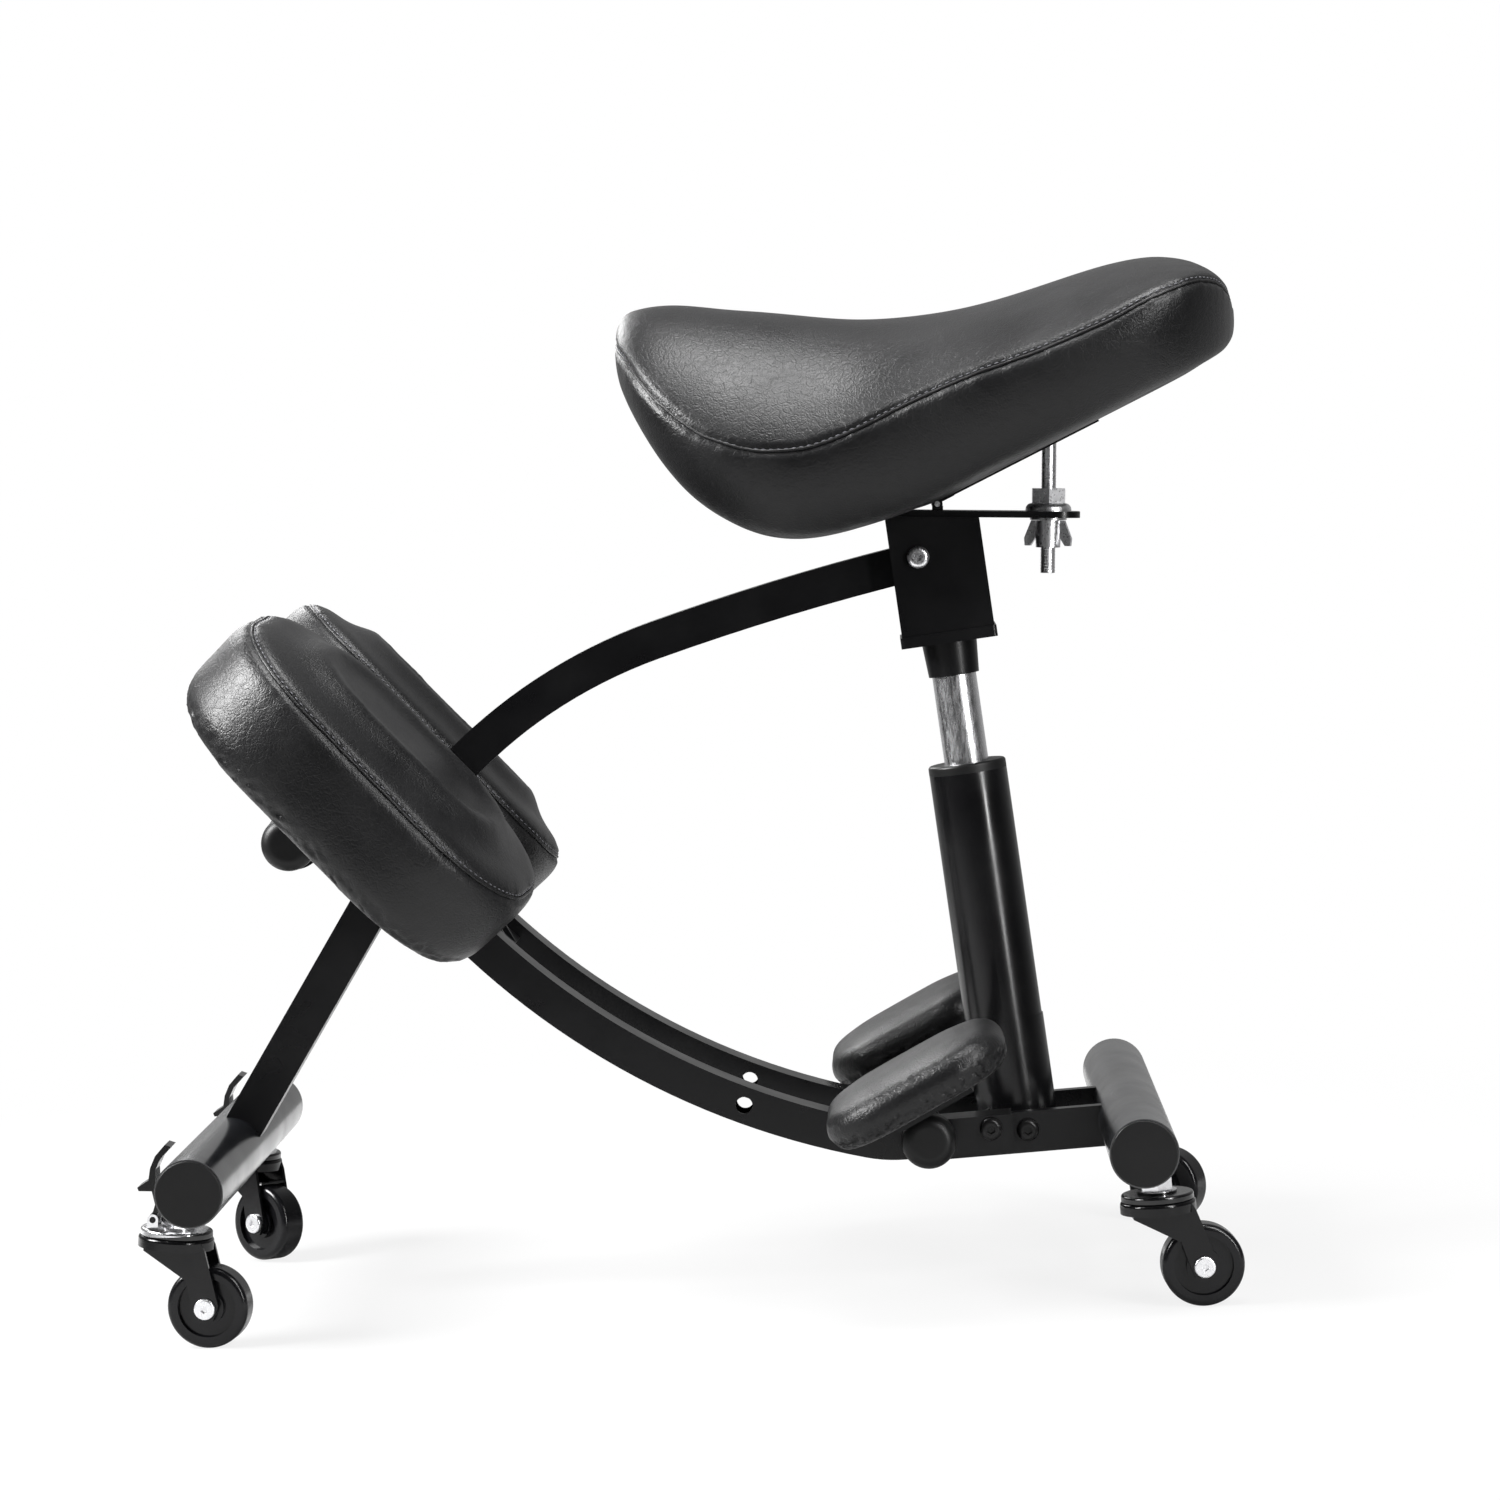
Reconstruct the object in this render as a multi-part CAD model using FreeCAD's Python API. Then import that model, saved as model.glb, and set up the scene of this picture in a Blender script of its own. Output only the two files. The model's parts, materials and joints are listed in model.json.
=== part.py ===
import FreeCAD, Part
import math
import os

# Kneeling chair: a low steel frame on four casters carries a gas column with a saddle seat,
# two knee pads on a cross tube at the front and two small ankle pads at the back.
# Lengths in millimetres, angles in degrees. X is across, Y runs from the front to the back,
# Z is up from the floor. Side points are written as (y, z) pairs.

V = FreeCAD.Vector
os.makedirs("parts", exist_ok=True)

# Running clearances
FIT = 0.08
SIDE_GAP = 0.3

# Cross bars that carry the casters
BAR_R = 21.0
BAR_WALL = 2.0
BAR_LENGTH = 360.0
BAR_Z = 98.0
FRONT_BAR_Y = -309.0
REAR_BAR_Y = 265.0
CAP_HEAD_R = 20.2
CAP_HEAD = 1.6
CAP_PLUG = 14.0

# Square tube of the leg, the rails and the bridge
TUBE = 25.0
TUBE_WALL = 1.5

# Front leg, from the front cross bar up to the hub
LEG_ANGLE = 32.7
LEG_LENGTH = 218.0

# Rails: two bent tubes from the hub down to the rear plates
RAIL_X = 55.0
RAIL_DEPTH = 23.0
RAIL_R = 483.0
RAIL_CENTRE = (209.0, 566.5)
RAIL_HIGH_ANGLE = 45.6
RAIL_LOW_ANGLE = 13.0
RAIL_BEND_R = 80.0
RAIL_END_Y = 188.0
BRIDGE_ANGLE = 44.6
BRIDGE_SIDE = 16.0
BRIDGE_DROP = 3.5
SPARE_HOLE_Y = 23.0
SPARE_HOLE_R = 5.25
PLUG_DEPTH = 7.0

# Rear plates, flat bars between the rails and the rear cross bar, rising towards the back
REAR_RISE = 2.4
PLATE_Z = 95.3
PLATE_DEPTH = 26.0
PLATE_THICK = 8.0
PLATE_FRONT_Y = 122.0

# Bolts
BOLT_R = 4.0
HEAD_R = 7.0
HEAD_H = 5.0
NUT_FLATS = 13.0
NUT_H = 6.5
THIN_NUT_H = 4.5
BOLT_TAIL = 2.0
THIN_TAIL = 0.5
RAIL_BOLTS = ((176.0, 99.5),)

# Hub: two side plates at the top of the leg
HUB_THICK = 4.0
HUB_ROUND = 16.0
LEG_BOLT_EDGE = 9.0
LEG_BOLT = LEG_LENGTH - LEG_BOLT_EDGE

# Curved bar from the hub to the seat box: a round stretch, then a nearly straight one
ARC_R = 325.0
ARC_SLOPE = 51.6
ARC_TURN = 34.5
ARC_REAR_R = 1676.0
ARC_DEPTH = 23.5
ARC_WIDTH = 25.0
ARC_FRONT = (-181.6, 301.8)
ARC_REAR = (147.0, 456.0)
ARC_PIN_R = 5.0
BOX_PIN_R = 4.2
BOX_PIN_PLAY = 2.2

# Gas column, measured along its own line from the foot pivot
FOOT_Y = 199.5
FOOT_Z = 94.0
COLUMN_LEAN = 5.6
COLUMN_AHEAD = 4.9
FOOT_PIN_R = 5.0
FOOT_BUSH_R = 9.5
SLEEVE_R = 25.4
SLEEVE_WALL = 2.9
SLEEVE_LOW = -14.0
SLEEVE_TOP = 67.0
SPIGOT = 16.0
COLUMN_R = 24.7
COLUMN_WALL = 2.0
COLUMN_TOP = 226.0
RING_H = 6.0
RING_NECK = 24.0
PISTON_R = 14.0
PISTON_LOW = 95.0
PISTON_TOP = 326.0
SOCKET_LOW = 288.0
SOCKET_TOP = 328.0
SOCKET_R = 17.5
SOCKET_NOSE_R = 16.0
VALVE_R = 4.0
VALVE_LOW = 300.0
VALVE_TOP = 335.0

# Seat box on top of the piston
BOX_LOW = 309.5
BOX_SIZE = 58.5
BOX_WALL = 3.0
BOX_LIP = 61.0
BOX_LIP_H = 7.0
BOX_SLOT_H = 42.0

# Release lever on the far side of the box
LEVER_H = 4.0
LEVER_W = 10.0
LEVER_INNER_X = 6.0
LEVER_BEND_X = -58.0
LEVER_END_X = -122.0
GRIP_H = 7.0
GRIP_W = 22.0
LEVER_LIFT = 2.6

# Seat plate, hinge and tilt rod
SEAT_PLATE_SLOPE = -3.2
SEAT_PLATE_THICK = 4.0
SEAT_PLATE_WIDTH = 50.0
SEAT_PLATE_FRONT_Y = 134.0
SEAT_PLATE_REAR_Y = 250.0
SEAT_PLATE_LOW = (186.0, 479.0)
PLATE_CLEAR = 3.5
HINGE = (160.5, 488.6)
HINGE_BARREL_R = 3.4
HINGE_PIN_R = 1.8
HINGE_HALF = 24.0
ROD_Y = 230.4
ROD_R = 4.5
ROD_LOW = -35.0
ROD_SLOT = 3.2
ROD_PLAY = 2.1
HEX_FLATS = 20.5
HEX_H = 9.3
WASHER_R = 14.5
WASHER_H = 5.0
LOW_WASHER_H = 1.6
WING_HUB_R = 8.4
WING_HUB_H = 17.0
WING_SPAN = 15.5
WING_DROP = 16.0

# Saddle seat
SADDLE_Y = -4.0
SEAT_SLOPE = 24.3
SEAT_BASE = (235.0, 526.0)
BOARD_THICK = 12.0
SEAT_BOARD_FRONT_Y = 150.0
SEAT_BOARD_REAR_Y = 322.0
SEAT_BOARD_HALF = 96.0
LEAF_THICK = 3.0
LEAF_HALF = 38.0
LEAF_FRONT_Y = 166.0
LEAF_REAR_Y = 262.0
SEAT_SIDE_BULGE = 7.0

# Saddle cross sections, front to back:
# place, ridge height, seam height, half width at the seam, underside height, half width below
SADDLE = (
    (-31.0, 611.0, 597.0, 40.0, 583.0, 32.0),
    (-25.0, 617.0, 586.0, 76.0, 563.0, 62.0),
    (-8.0, 620.0, 563.0, 106.0, 531.0, 86.0),
    (20.0, 618.0, 539.0, 126.0, 497.0, 98.0),
    (52.0, 613.0, 527.0, 135.0, 478.0, 104.0),
    (85.0, 608.0, 527.0, 138.0, 473.0, 106.0),
    (112.0, 604.0, 536.0, 140.0, 477.5, 108.0),
    (145.0, 603.0, 551.5, 144.0, 486.5, 114.0),
    (180.0, 606.0, 565.5, 152.0, 501.5, 122.0),
    (225.0, 616.0, 579.0, 161.0, 521.5, 132.0),
    (270.0, 629.0, 596.0, 166.0, 541.8, 138.0),
    (308.0, 635.0, 613.0, 158.0, 559.0, 130.0),
    (332.0, 630.0, 618.0, 134.0, 569.8, 106.0),
    (346.0, 618.0, 611.0, 96.0, 577.0, 72.0),
    (352.0, 605.0, 600.0, 52.0, 586.0, 40.0),
)

# Knee pads: a cross tube on the hub, two brackets, boards and cushions
KNEE_TUBE = (-250.5, 298.5)
KNEE_TUBE_R = 12.7
KNEE_TUBE_WALL = 2.0
KNEE_TUBE_HALF = 75.0
KNEE_END = 10.0
KNEE_SLOPE = 48.3
KNEE_ROLL = 5.5
KNEE_X = 113.5
KNEE_RISE = 27.0
KNEE_ALONG = 8.5
KNEE_LENGTH = 242.0
KNEE_WIDTH = 184.0
KNEE_CORNER = 76.0
KNEE_BOARD_INSET = 16.0
KNEE_RING_R = 18.5
KNEE_RING_X = 34.0
KNEE_RING_W = 24.0
KNEE_FLANGE = (70.0, 110.0, 4.0)
KNOB_R = 17.0
KNOB_W = 17.0
KNOB_STEM_R = 4.0

# Cushion profiles from the base up: height, how far the outline draws in
KNEE_PROFILE = ((0.0, 9.0), (7.0, 3.5), (24.0, 0.5), (46.0, 0.0), (60.0, 1.0), (64.5, 4.0),
                (70.0, 16.0), (74.5, 35.0), (77.0, 58.0))
ANKLE_PROFILE = ((0.0, 7.0), (4.0, 2.0), (11.0, 0.0), (18.0, 0.8), (22.5, 4.0),
                 (25.5, 11.0), (27.5, 22.0))

# Ankle pads on a cross rod through the rear plates
ANKLE_ROD = (137.0, 96.0)
ANKLE_ROD_R = 5.0
ANKLE_ROD_HALF = 76.0
ANKLE_SLOPE = 27.0
ANKLE_X = 130.0
ANKLE_RISE = 29.0
ANKLE_ALONG = 14.0
ANKLE_LENGTH = 121.0
ANKLE_WIDTH = 120.0
ANKLE_CORNER = 36.0
ANKLE_BOARD = 9.0
ANKLE_BOARD_INSET = 14.0
EAR_R = 13.0
EAR_THICK = 5.0
ANKLE_FLANGE_REACH = 170.0
ANKLE_FLANGE = (-22.0, 30.0, 4.0)
ANKLE_KNOB_R = 17.0
ANKLE_KNOB_W = 17.0

# Casters: the stem leans outwards below the bar, the wheel trails behind it
CASTER_FROM_END = 30.0
CASTER_X = BAR_LENGTH / 2 - CASTER_FROM_END
STEM_OFFSET = (10.0, 7.0)
STEM_RAKE = (7.0, 2.0)
SWIVELS = {"front_left": 6.0, "front_right": 38.0, "rear_left": -3.0, "rear_right": 28.0}
TRAIL = 24.0
WHEEL_R = 25.0
WHEEL_W = 19.0
STEM_R = 5.0
STEM_UP = 11.0
STEM_NUT_FLATS = 18.0
STEM_NUT_LOW = 47.0
TOP_PLATE_R = 22.0
TOP_PLATE_LOW = 41.5
TOP_PLATE_H = 4.0
FORK_PLATE_LOW = 34.0
FORK_PLATE_H = 7.0
FORK_R = 23.0
FORK_WALL = 2.2
FORK_HALF = 13.5
AXLE_R = 4.0
AXLE_HEAD_R = 6.5
AXLE_HEAD_H = 2.5
HUB_BORE_R = 4.08

# Brake lever on the two front casters, pivoted on the fixed top plate
BRAKE_HALF = 9.0
BRAKE_PIVOT = (-13.5, 29.5)
BRAKE_RISE = 21.5
BRAKE_BARREL_R = 3.4
BRAKE_PIN_R = 1.8
BRAKE_THICK = 3.0


def rad(angle):
    return math.radians(angle)


def turned(y, z, angle):
    """Side point (y, z) turned about the X axis."""
    c, s = math.cos(rad(angle)), math.sin(rad(angle))
    return (y * c - z * s, y * s + z * c)


def shifted(point, dy, dz, angle=0.0):
    ty, tz = turned(dy, dz, angle)
    return (point[0] + ty, point[1] + tz)


def rod_x(point, radius, x0, x1):
    return Part.makeCylinder(radius, x1 - x0, V(x0, point[0], point[1]), V(1, 0, 0))


def prism_x(points, x0, x1):
    """Flat outline of side points, carried along X."""
    corners = [V(x0, y, z) for y, z in points]
    face = Part.Face(Part.makePolygon(corners + corners[:1]))
    return face.extrude(V(x1 - x0, 0, 0))


def hex_prism(flats, low, high):
    """Hexagon standing on Z."""
    r = flats / math.sqrt(3.0)
    corners = [V(r * math.cos(rad(60 * i)), r * math.sin(rad(60 * i)), low) for i in range(6)]
    return Part.Face(Part.makePolygon(corners + corners[:1])).extrude(V(0, 0, high - low))


def hex_x(point, flats, x0, x1):
    body = hex_prism(flats, 0.0, x1 - x0)
    body.rotate(V(0, 0, 0), V(0, 1, 0), 90)
    body.translate(V(x0, point[0], point[1]))
    return body


def disc(radius, low, high):
    return Part.makeCylinder(radius, high - low, V(0, 0, low))


def ring(outer, inner, low, high):
    return disc(outer, low, high).cut(disc(inner, low - 1, high + 1))


def block(x0, x1, y0, y1, z0, z1):
    return Part.makeBox(x1 - x0, y1 - y0, z1 - z0, V(x0, y0, z0))


def placed(shape, point, angle, x=0.0, roll=0.0):
    """Local shape turned about Y by roll, then about X, and set down at a side point."""
    out = shape.copy()
    out.rotate(V(0, 0, 0), V(0, 1, 0), roll)
    out.rotate(V(0, 0, 0), V(1, 0, 0), angle)
    out.translate(V(x, point[0], point[1]))
    return out


def mirrored(shape):
    return shape.mirror(V(0, 0, 0), V(1, 0, 0))


def bolt_x(point, radius, head_x, end_x):
    """Button head bolt along X; the head stands outside head_x, the shank runs to end_x."""
    side = 1.0 if head_x > end_x else -1.0
    shank = rod_x(point, radius, min(head_x, end_x), max(head_x, end_x))
    head = rod_x(point, HEAD_R, min(head_x, head_x + side * HEAD_H), max(head_x, head_x + side * HEAD_H))
    rim = [e for e in head.Edges if abs(e.BoundBox.XMin - (head_x + side * HEAD_H)) < 0.01
           and abs(e.BoundBox.XMax - (head_x + side * HEAD_H)) < 0.01]
    head = head.makeFillet(HEAD_H * 0.6, rim)
    socket = hex_x(point, HEAD_R * 0.7, *sorted((head_x + side * (HEAD_H - 2.5), head_x + side * (HEAD_H + 1))))
    return shank.fuse(head).cut(socket).removeSplitter()


def nut_x(point, hole_r, x0, x1):
    return hex_x(point, NUT_FLATS, x0, x1).cut(rod_x(point, hole_r, x0 - 1, x1 + 1))


def one_solid(shape):
    shape = shape.removeSplitter()
    return shape.Solids[0] if len(shape.Solids) == 1 else shape


def save(name, *shapes):
    shape = shapes[0] if len(shapes) == 1 else Part.makeCompound(list(shapes))
    shape.exportStep("parts/" + name + ".step")
    box = shape.BoundBox
    extents.add(box)
    print("%-22s solids %d volume %9.0f valid %s" % (name, len(shape.Solids), shape.Volume, shape.isValid()))


extents = FreeCAD.BoundBox()

# Rail line: a long round bend, a short tighter one, then straight to the rear
def rail_point(angle, offset=0.0):
    """Point of the rail's long bend where it slopes by angle; offset moves it up and back."""
    r = RAIL_R - offset
    return (RAIL_CENTRE[0] - r * math.sin(rad(angle)), RAIL_CENTRE[1] - r * math.cos(rad(angle)))


def rail_height(y):
    return RAIL_CENTRE[1] - math.sqrt(RAIL_R ** 2 - (RAIL_CENTRE[0] - y) ** 2)


BEND_CENTRE = shifted(rail_point(RAIL_LOW_ANGLE), 0, RAIL_BEND_R, -RAIL_LOW_ANGLE)
STRAIGHT_START = shifted(BEND_CENTRE, 0, -RAIL_BEND_R, REAR_RISE)
STRAIGHT_LENGTH = (RAIL_END_Y - STRAIGHT_START[0]) / math.cos(rad(REAR_RISE))


def bent_bar(centre, radius, depth, x0, x1, start, end, below):
    """Bar of even depth bent about a centre; start and end are slopes of its line."""
    side = -1.0 if below else 1.0

    def at(r, angle):
        return V(x0, centre[0] - side * r * math.sin(rad(angle)), centre[1] - side * r * math.cos(rad(angle)))

    near, far = radius - depth / 2, radius + depth / 2
    middle = (start + end) / 2
    edges = [Part.Arc(at(near, start), at(near, middle), at(near, end)).toShape(),
             Part.LineSegment(at(near, end), at(far, end)).toShape(),
             Part.Arc(at(far, end), at(far, middle), at(far, start)).toShape(),
             Part.LineSegment(at(far, start), at(near, start)).toShape()]
    return Part.Face(Part.Wire(edges)).extrude(V(x1 - x0, 0, 0))


# Cross bars and their end caps
def cross_bar(y, offset, rake):
    bar = rod_x((y, BAR_Z), BAR_R, -BAR_LENGTH / 2, BAR_LENGTH / 2)
    bar = bar.cut(rod_x((y, BAR_Z), BAR_R - BAR_WALL, -BAR_LENGTH / 2 - 1, BAR_LENGTH / 2 + 1))
    for side in (-1, 1):
        hole = Part.makeCylinder(STEM_R + 0.2, 2 * BAR_R, V(0, 0, -1.7 * BAR_R))
        hole = placed(hole, (y + offset, BAR_Z), rake, side * CASTER_X)
        bar = bar.cut(hole)
    return one_solid(bar)


def end_cap(y, side):
    head = rod_x((y, BAR_Z), CAP_HEAD_R, BAR_LENGTH / 2, BAR_LENGTH / 2 + CAP_HEAD)
    rim = [e for e in head.Edges if e.BoundBox.XMin > BAR_LENGTH / 2 + CAP_HEAD - 0.01]
    head = head.makeFillet(CAP_HEAD * 0.6, rim)
    plug = rod_x((y, BAR_Z), BAR_R - BAR_WALL, BAR_LENGTH / 2 - CAP_PLUG, BAR_LENGTH / 2)
    hollow = rod_x((y, BAR_Z), BAR_R - 2 * BAR_WALL, BAR_LENGTH / 2 - CAP_PLUG - 1, BAR_LENGTH / 2 - 1)
    cap = one_solid(head.fuse(plug).cut(hollow))
    return cap if side > 0 else mirrored(cap)


FRONT_STEM = (FRONT_BAR_Y - STEM_OFFSET[0], BAR_Z)
REAR_STEM = (REAR_BAR_Y + STEM_OFFSET[1], BAR_Z)
save("front_crossbar", cross_bar(FRONT_BAR_Y, -STEM_OFFSET[0], -STEM_RAKE[0]))
save("rear_crossbar", cross_bar(REAR_BAR_Y, STEM_OFFSET[1], STEM_RAKE[1]))
save("crossbar_end_caps", *[end_cap(y, s) for y in (FRONT_BAR_Y, REAR_BAR_Y) for s in (-1, 1)])


# Front leg: square tube, its foot cut round to sit on the front bar
def leg_point(along):
    return (FRONT_BAR_Y + along * math.sin(rad(LEG_ANGLE)), BAR_Z + along * math.cos(rad(LEG_ANGLE)))


def leg():
    outer = block(-TUBE / 2, TUBE / 2, -TUBE / 2, TUBE / 2, 0, LEG_LENGTH)
    half = TUBE / 2 - TUBE_WALL
    body = outer.cut(block(-half, half, -half, half, -1, LEG_LENGTH - TUBE_WALL))
    body = placed(body, (FRONT_BAR_Y, BAR_Z), -LEG_ANGLE)
    body = body.cut(rod_x((FRONT_BAR_Y, BAR_Z), BAR_R, -TUBE, TUBE))
    body = body.cut(rod_x(leg_point(LEG_BOLT), BOLT_R, -TUBE, TUBE))
    return one_solid(max(body.Solids, key=lambda s: s.Volume))


save("front_leg", leg())


# Rails: two bent square tubes with open spare holes, and the bridge between their top ends
def rail_stretch(depth, width, overrun):
    """Long bend, short bend and straight end as one solid; overrun lengthens a cutting copy."""
    x0, x1 = RAIL_X - width / 2, RAIL_X + width / 2
    high = RAIL_HIGH_ANGLE + math.degrees(overrun / RAIL_R)
    body = bent_bar(RAIL_CENTRE, RAIL_R, depth, x0, x1, RAIL_LOW_ANGLE, high, False)
    bend = bent_bar(BEND_CENTRE, RAIL_BEND_R, depth, x0, x1, -REAR_RISE, RAIL_LOW_ANGLE, False)
    end = block(x0, x1, 0, STRAIGHT_LENGTH + overrun, -depth / 2, depth / 2)
    return body.fuse([bend, placed(end, STRAIGHT_START, REAR_RISE)])


def rail():
    body = rail_stretch(RAIL_DEPTH, TUBE, 0.0)
    body = body.cut(rail_stretch(RAIL_DEPTH - 2 * TUBE_WALL, TUBE - 2 * TUBE_WALL, 2.0))
    x0, x1 = RAIL_X - TUBE / 2 - 1, RAIL_X + TUBE / 2 + 1
    body = body.cut(rod_x((SPARE_HOLE_Y, rail_height(SPARE_HOLE_Y)), SPARE_HOLE_R, x0, x1))
    body = body.cut(rod_x(ANKLE_ROD, ANKLE_ROD_R, x0, x1))
    for point in RAIL_BOLTS:
        body = body.cut(rod_x(point, BOLT_R, x0, x1))
    return one_solid(body)


def rail_plug(point, slope):
    """Moulded plug that closes a rail end; local Y points out of the tube."""
    across, deep = TUBE / 2, RAIL_DEPTH / 2
    head = block(-across, across, 0, 2.0, -deep, deep)
    across, deep = across - TUBE_WALL - FIT, deep - TUBE_WALL - FIT
    stem = block(-across, across, -PLUG_DEPTH, 0, -deep, deep)
    body = head.fuse(stem).removeSplitter()
    return placed(body, point, slope, RAIL_X)


save("rail_left", rail())
save("rail_right", mirrored(rail()))
low_plug = rail_plug(shifted(STRAIGHT_START, STRAIGHT_LENGTH, 0, REAR_RISE), REAR_RISE)
high_plug = rail_plug(rail_point(RAIL_HIGH_ANGLE), 180 - RAIL_HIGH_ANGLE)
save("rail_end_plugs", low_plug, high_plug, mirrored(low_plug), mirrored(high_plug))

bridge_half = RAIL_X - TUBE / 2
deep = BRIDGE_SIDE / 2
bridge_outer = block(-bridge_half, bridge_half, -deep, deep, -deep, deep)
deep = deep - TUBE_WALL
bridge = bridge_outer.cut(block(-bridge_half - 1, bridge_half + 1, -deep, deep, -deep, deep))
BRIDGE_POINT = rail_point(BRIDGE_ANGLE, -BRIDGE_DROP)
save("rail_bridge", placed(bridge, BRIDGE_POINT, -BRIDGE_ANGLE))


# Rear plates: flat bars inside the rails, rounded in front and cut round at the rear bar
def rear_plate():
    x0, x1 = PLATE_IN, PLATE_OUT
    half = PLATE_DEPTH / 2
    run = (REAR_BAR_Y - PLATE_FRONT_Y) / math.cos(rad(REAR_RISE)) - half
    body = block(x0, x1, -run, 0, -half, half)
    body = placed(body, (REAR_BAR_Y, PLATE_Z), REAR_RISE)
    nose = shifted((REAR_BAR_Y, PLATE_Z), -run, 0, REAR_RISE)
    body = body.fuse(rod_x(nose, half, x0, x1))
    body = body.cut(rod_x((REAR_BAR_Y, BAR_Z), BAR_R, x0 - 1, x1 + 1))
    holes = [(point, BOLT_R) for point in RAIL_BOLTS]
    holes += [((FOOT_Y, FOOT_Z), FOOT_PIN_R), (ANKLE_ROD, ANKLE_ROD_R)]
    for point, radius in holes:
        body = body.cut(rod_x(point, radius, x0 - 1, x1 + 1))
    return one_solid(max(body.Solids, key=lambda s: s.Volume))


PLATE_OUT = RAIL_X - TUBE / 2
PLATE_IN = PLATE_OUT - PLATE_THICK
save("rear_plates", rear_plate(), mirrored(rear_plate()))

# Hub: two side plates that join the leg, the bridge, the knee tube and the curved bar
HUB_IN = TUBE / 2 + SIDE_GAP
HUB_OUT = HUB_IN + HUB_THICK


def pad_side(point, along, up):
    """Side point measured from another one, along and out of the knee pads."""
    return shifted(point, along, up, -KNEE_SLOPE)


def hub_plate():
    """Rises from the knee tube behind the pads, then runs back to the leg, the pivot and the bridge."""
    reach = HUB_ROUND * 0.8
    low = pad_side(KNEE_TUBE, -reach, 22.0)
    corner = pad_side(KNEE_TUBE, -reach, 38.0)
    pivot = pad_side(ARC_FRONT, -HUB_ROUND * 0.5, HUB_ROUND * 0.87)
    pivot_back = pad_side(ARC_FRONT, HUB_ROUND * 0.3, HUB_ROUND * 0.95)
    deep = BRIDGE_SIDE / 2
    high = shifted(BRIDGE_POINT, deep, deep, -BRIDGE_ANGLE)
    base = shifted(BRIDGE_POINT, deep, -deep, -BRIDGE_ANGLE)
    base_front = shifted(BRIDGE_POINT, -deep, -deep, -BRIDGE_ANGLE)
    body = prism_x([low, corner, pivot, pivot_back, high, base, base_front], HUB_IN, HUB_OUT)
    neck = [pad_side(KNEE_TUBE, -reach, 0), pad_side(KNEE_TUBE, reach, 0), pad_side(KNEE_TUBE, reach, 26.0),
            pad_side(KNEE_TUBE, -reach, 26.0)]
    body = body.fuse([prism_x(neck, HUB_IN, HUB_OUT), rod_x(ARC_FRONT, HUB_ROUND, HUB_IN, HUB_OUT),
                      rod_x(KNEE_TUBE, HUB_ROUND, HUB_IN, HUB_OUT)])
    body = body.cut(rod_x(ARC_FRONT, ARC_PIN_R, HUB_IN - 1, HUB_OUT + 1))
    body = body.cut(rod_x(KNEE_TUBE, KNEE_TUBE_R, HUB_IN - 1, HUB_OUT + 1))
    body = body.cut(rod_x(leg_point(LEG_BOLT), BOLT_R, HUB_IN - 1, HUB_OUT + 1))
    body = body.cut(placed(bridge_outer, BRIDGE_POINT, -BRIDGE_ANGLE))
    return one_solid(body)


save("hub_plates", hub_plate(), mirrored(hub_plate()))


# Fasteners of the frame
def bolt_set(point, radius, reach, thick=NUT_H, tail=BOLT_TAIL):
    bolt = bolt_x(point, radius, reach, -reach - thick - tail)
    nut = nut_x(point, radius, -reach - thick, -reach)
    return [bolt, nut]


fasteners = bolt_set(leg_point(LEG_BOLT), BOLT_R, HUB_OUT)
for point in RAIL_BOLTS:
    outer = RAIL_X + TUBE / 2
    pair = [bolt_x(point, BOLT_R, outer, PLATE_IN - NUT_H), nut_x(point, BOLT_R, PLATE_IN - NUT_H, PLATE_IN)]
    fasteners += pair + [mirrored(p) for p in pair]
pivots = bolt_set(ARC_FRONT, ARC_PIN_R, HUB_OUT, THIN_NUT_H, THIN_TAIL)
pivots += bolt_set((FOOT_Y, FOOT_Z), FOOT_PIN_R, PLATE_OUT)
save("frame_bolts", *fasteners, *pivots)


# Curved bar: hollow square tube with solid round ends, a bush in front, free play at the back
ARC_CENTRE = shifted(ARC_FRONT, 0, -ARC_R, ARC_SLOPE)
ARC_MIDDLE = shifted(ARC_CENTRE, 0, ARC_R, ARC_SLOPE - ARC_TURN)
ARC_REAR_CENTRE = shifted(ARC_MIDDLE, 0, -ARC_REAR_R, ARC_SLOPE - ARC_TURN)
ARC_REAR_TURN = math.degrees((ARC_REAR[0] - ARC_MIDDLE[0]) / math.cos(rad(14.0)) / ARC_REAR_R)


def arc_stretch(depth, width, short):
    """Both stretches as one solid; short leaves that much off either end."""
    half = width / 2
    trim = math.degrees(short / ARC_R)
    trim_rear = math.degrees(short / ARC_REAR_R)
    middle = ARC_TURN - ARC_SLOPE
    front = bent_bar(ARC_CENTRE, ARC_R, depth, -half, half, -ARC_SLOPE + trim, middle, True)
    rear = bent_bar(ARC_REAR_CENTRE, ARC_REAR_R, depth, -half, half, middle, middle + ARC_REAR_TURN - trim_rear, True)
    return front.fuse(rear)


def arc_bar():
    half = ARC_WIDTH / 2
    ends = [rod_x(point, ARC_DEPTH / 2 + 0.6, -half, half) for point in (ARC_FRONT, ARC_REAR)]
    body = arc_stretch(ARC_DEPTH, ARC_WIDTH, 0.0).fuse(ends)
    body = body.cut(arc_stretch(ARC_DEPTH - 2 * TUBE_WALL, ARC_WIDTH - 2 * TUBE_WALL, ARC_DEPTH * 0.6))
    body = body.cut(rod_x(ARC_FRONT, ARC_PIN_R + FIT, -half - 1, half + 1))
    body = body.cut(rod_x(ARC_REAR, BOX_PIN_R + BOX_PIN_PLAY, -half - 1, half + 1))
    return one_solid(body)


save("arc_bar", arc_bar())

# Gas column, built upright about its own line and leaned forward
FOOT = (FOOT_Y, FOOT_Z)


def on_column(shape):
    return placed(shape, column_point(0.0), COLUMN_LEAN)


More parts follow.
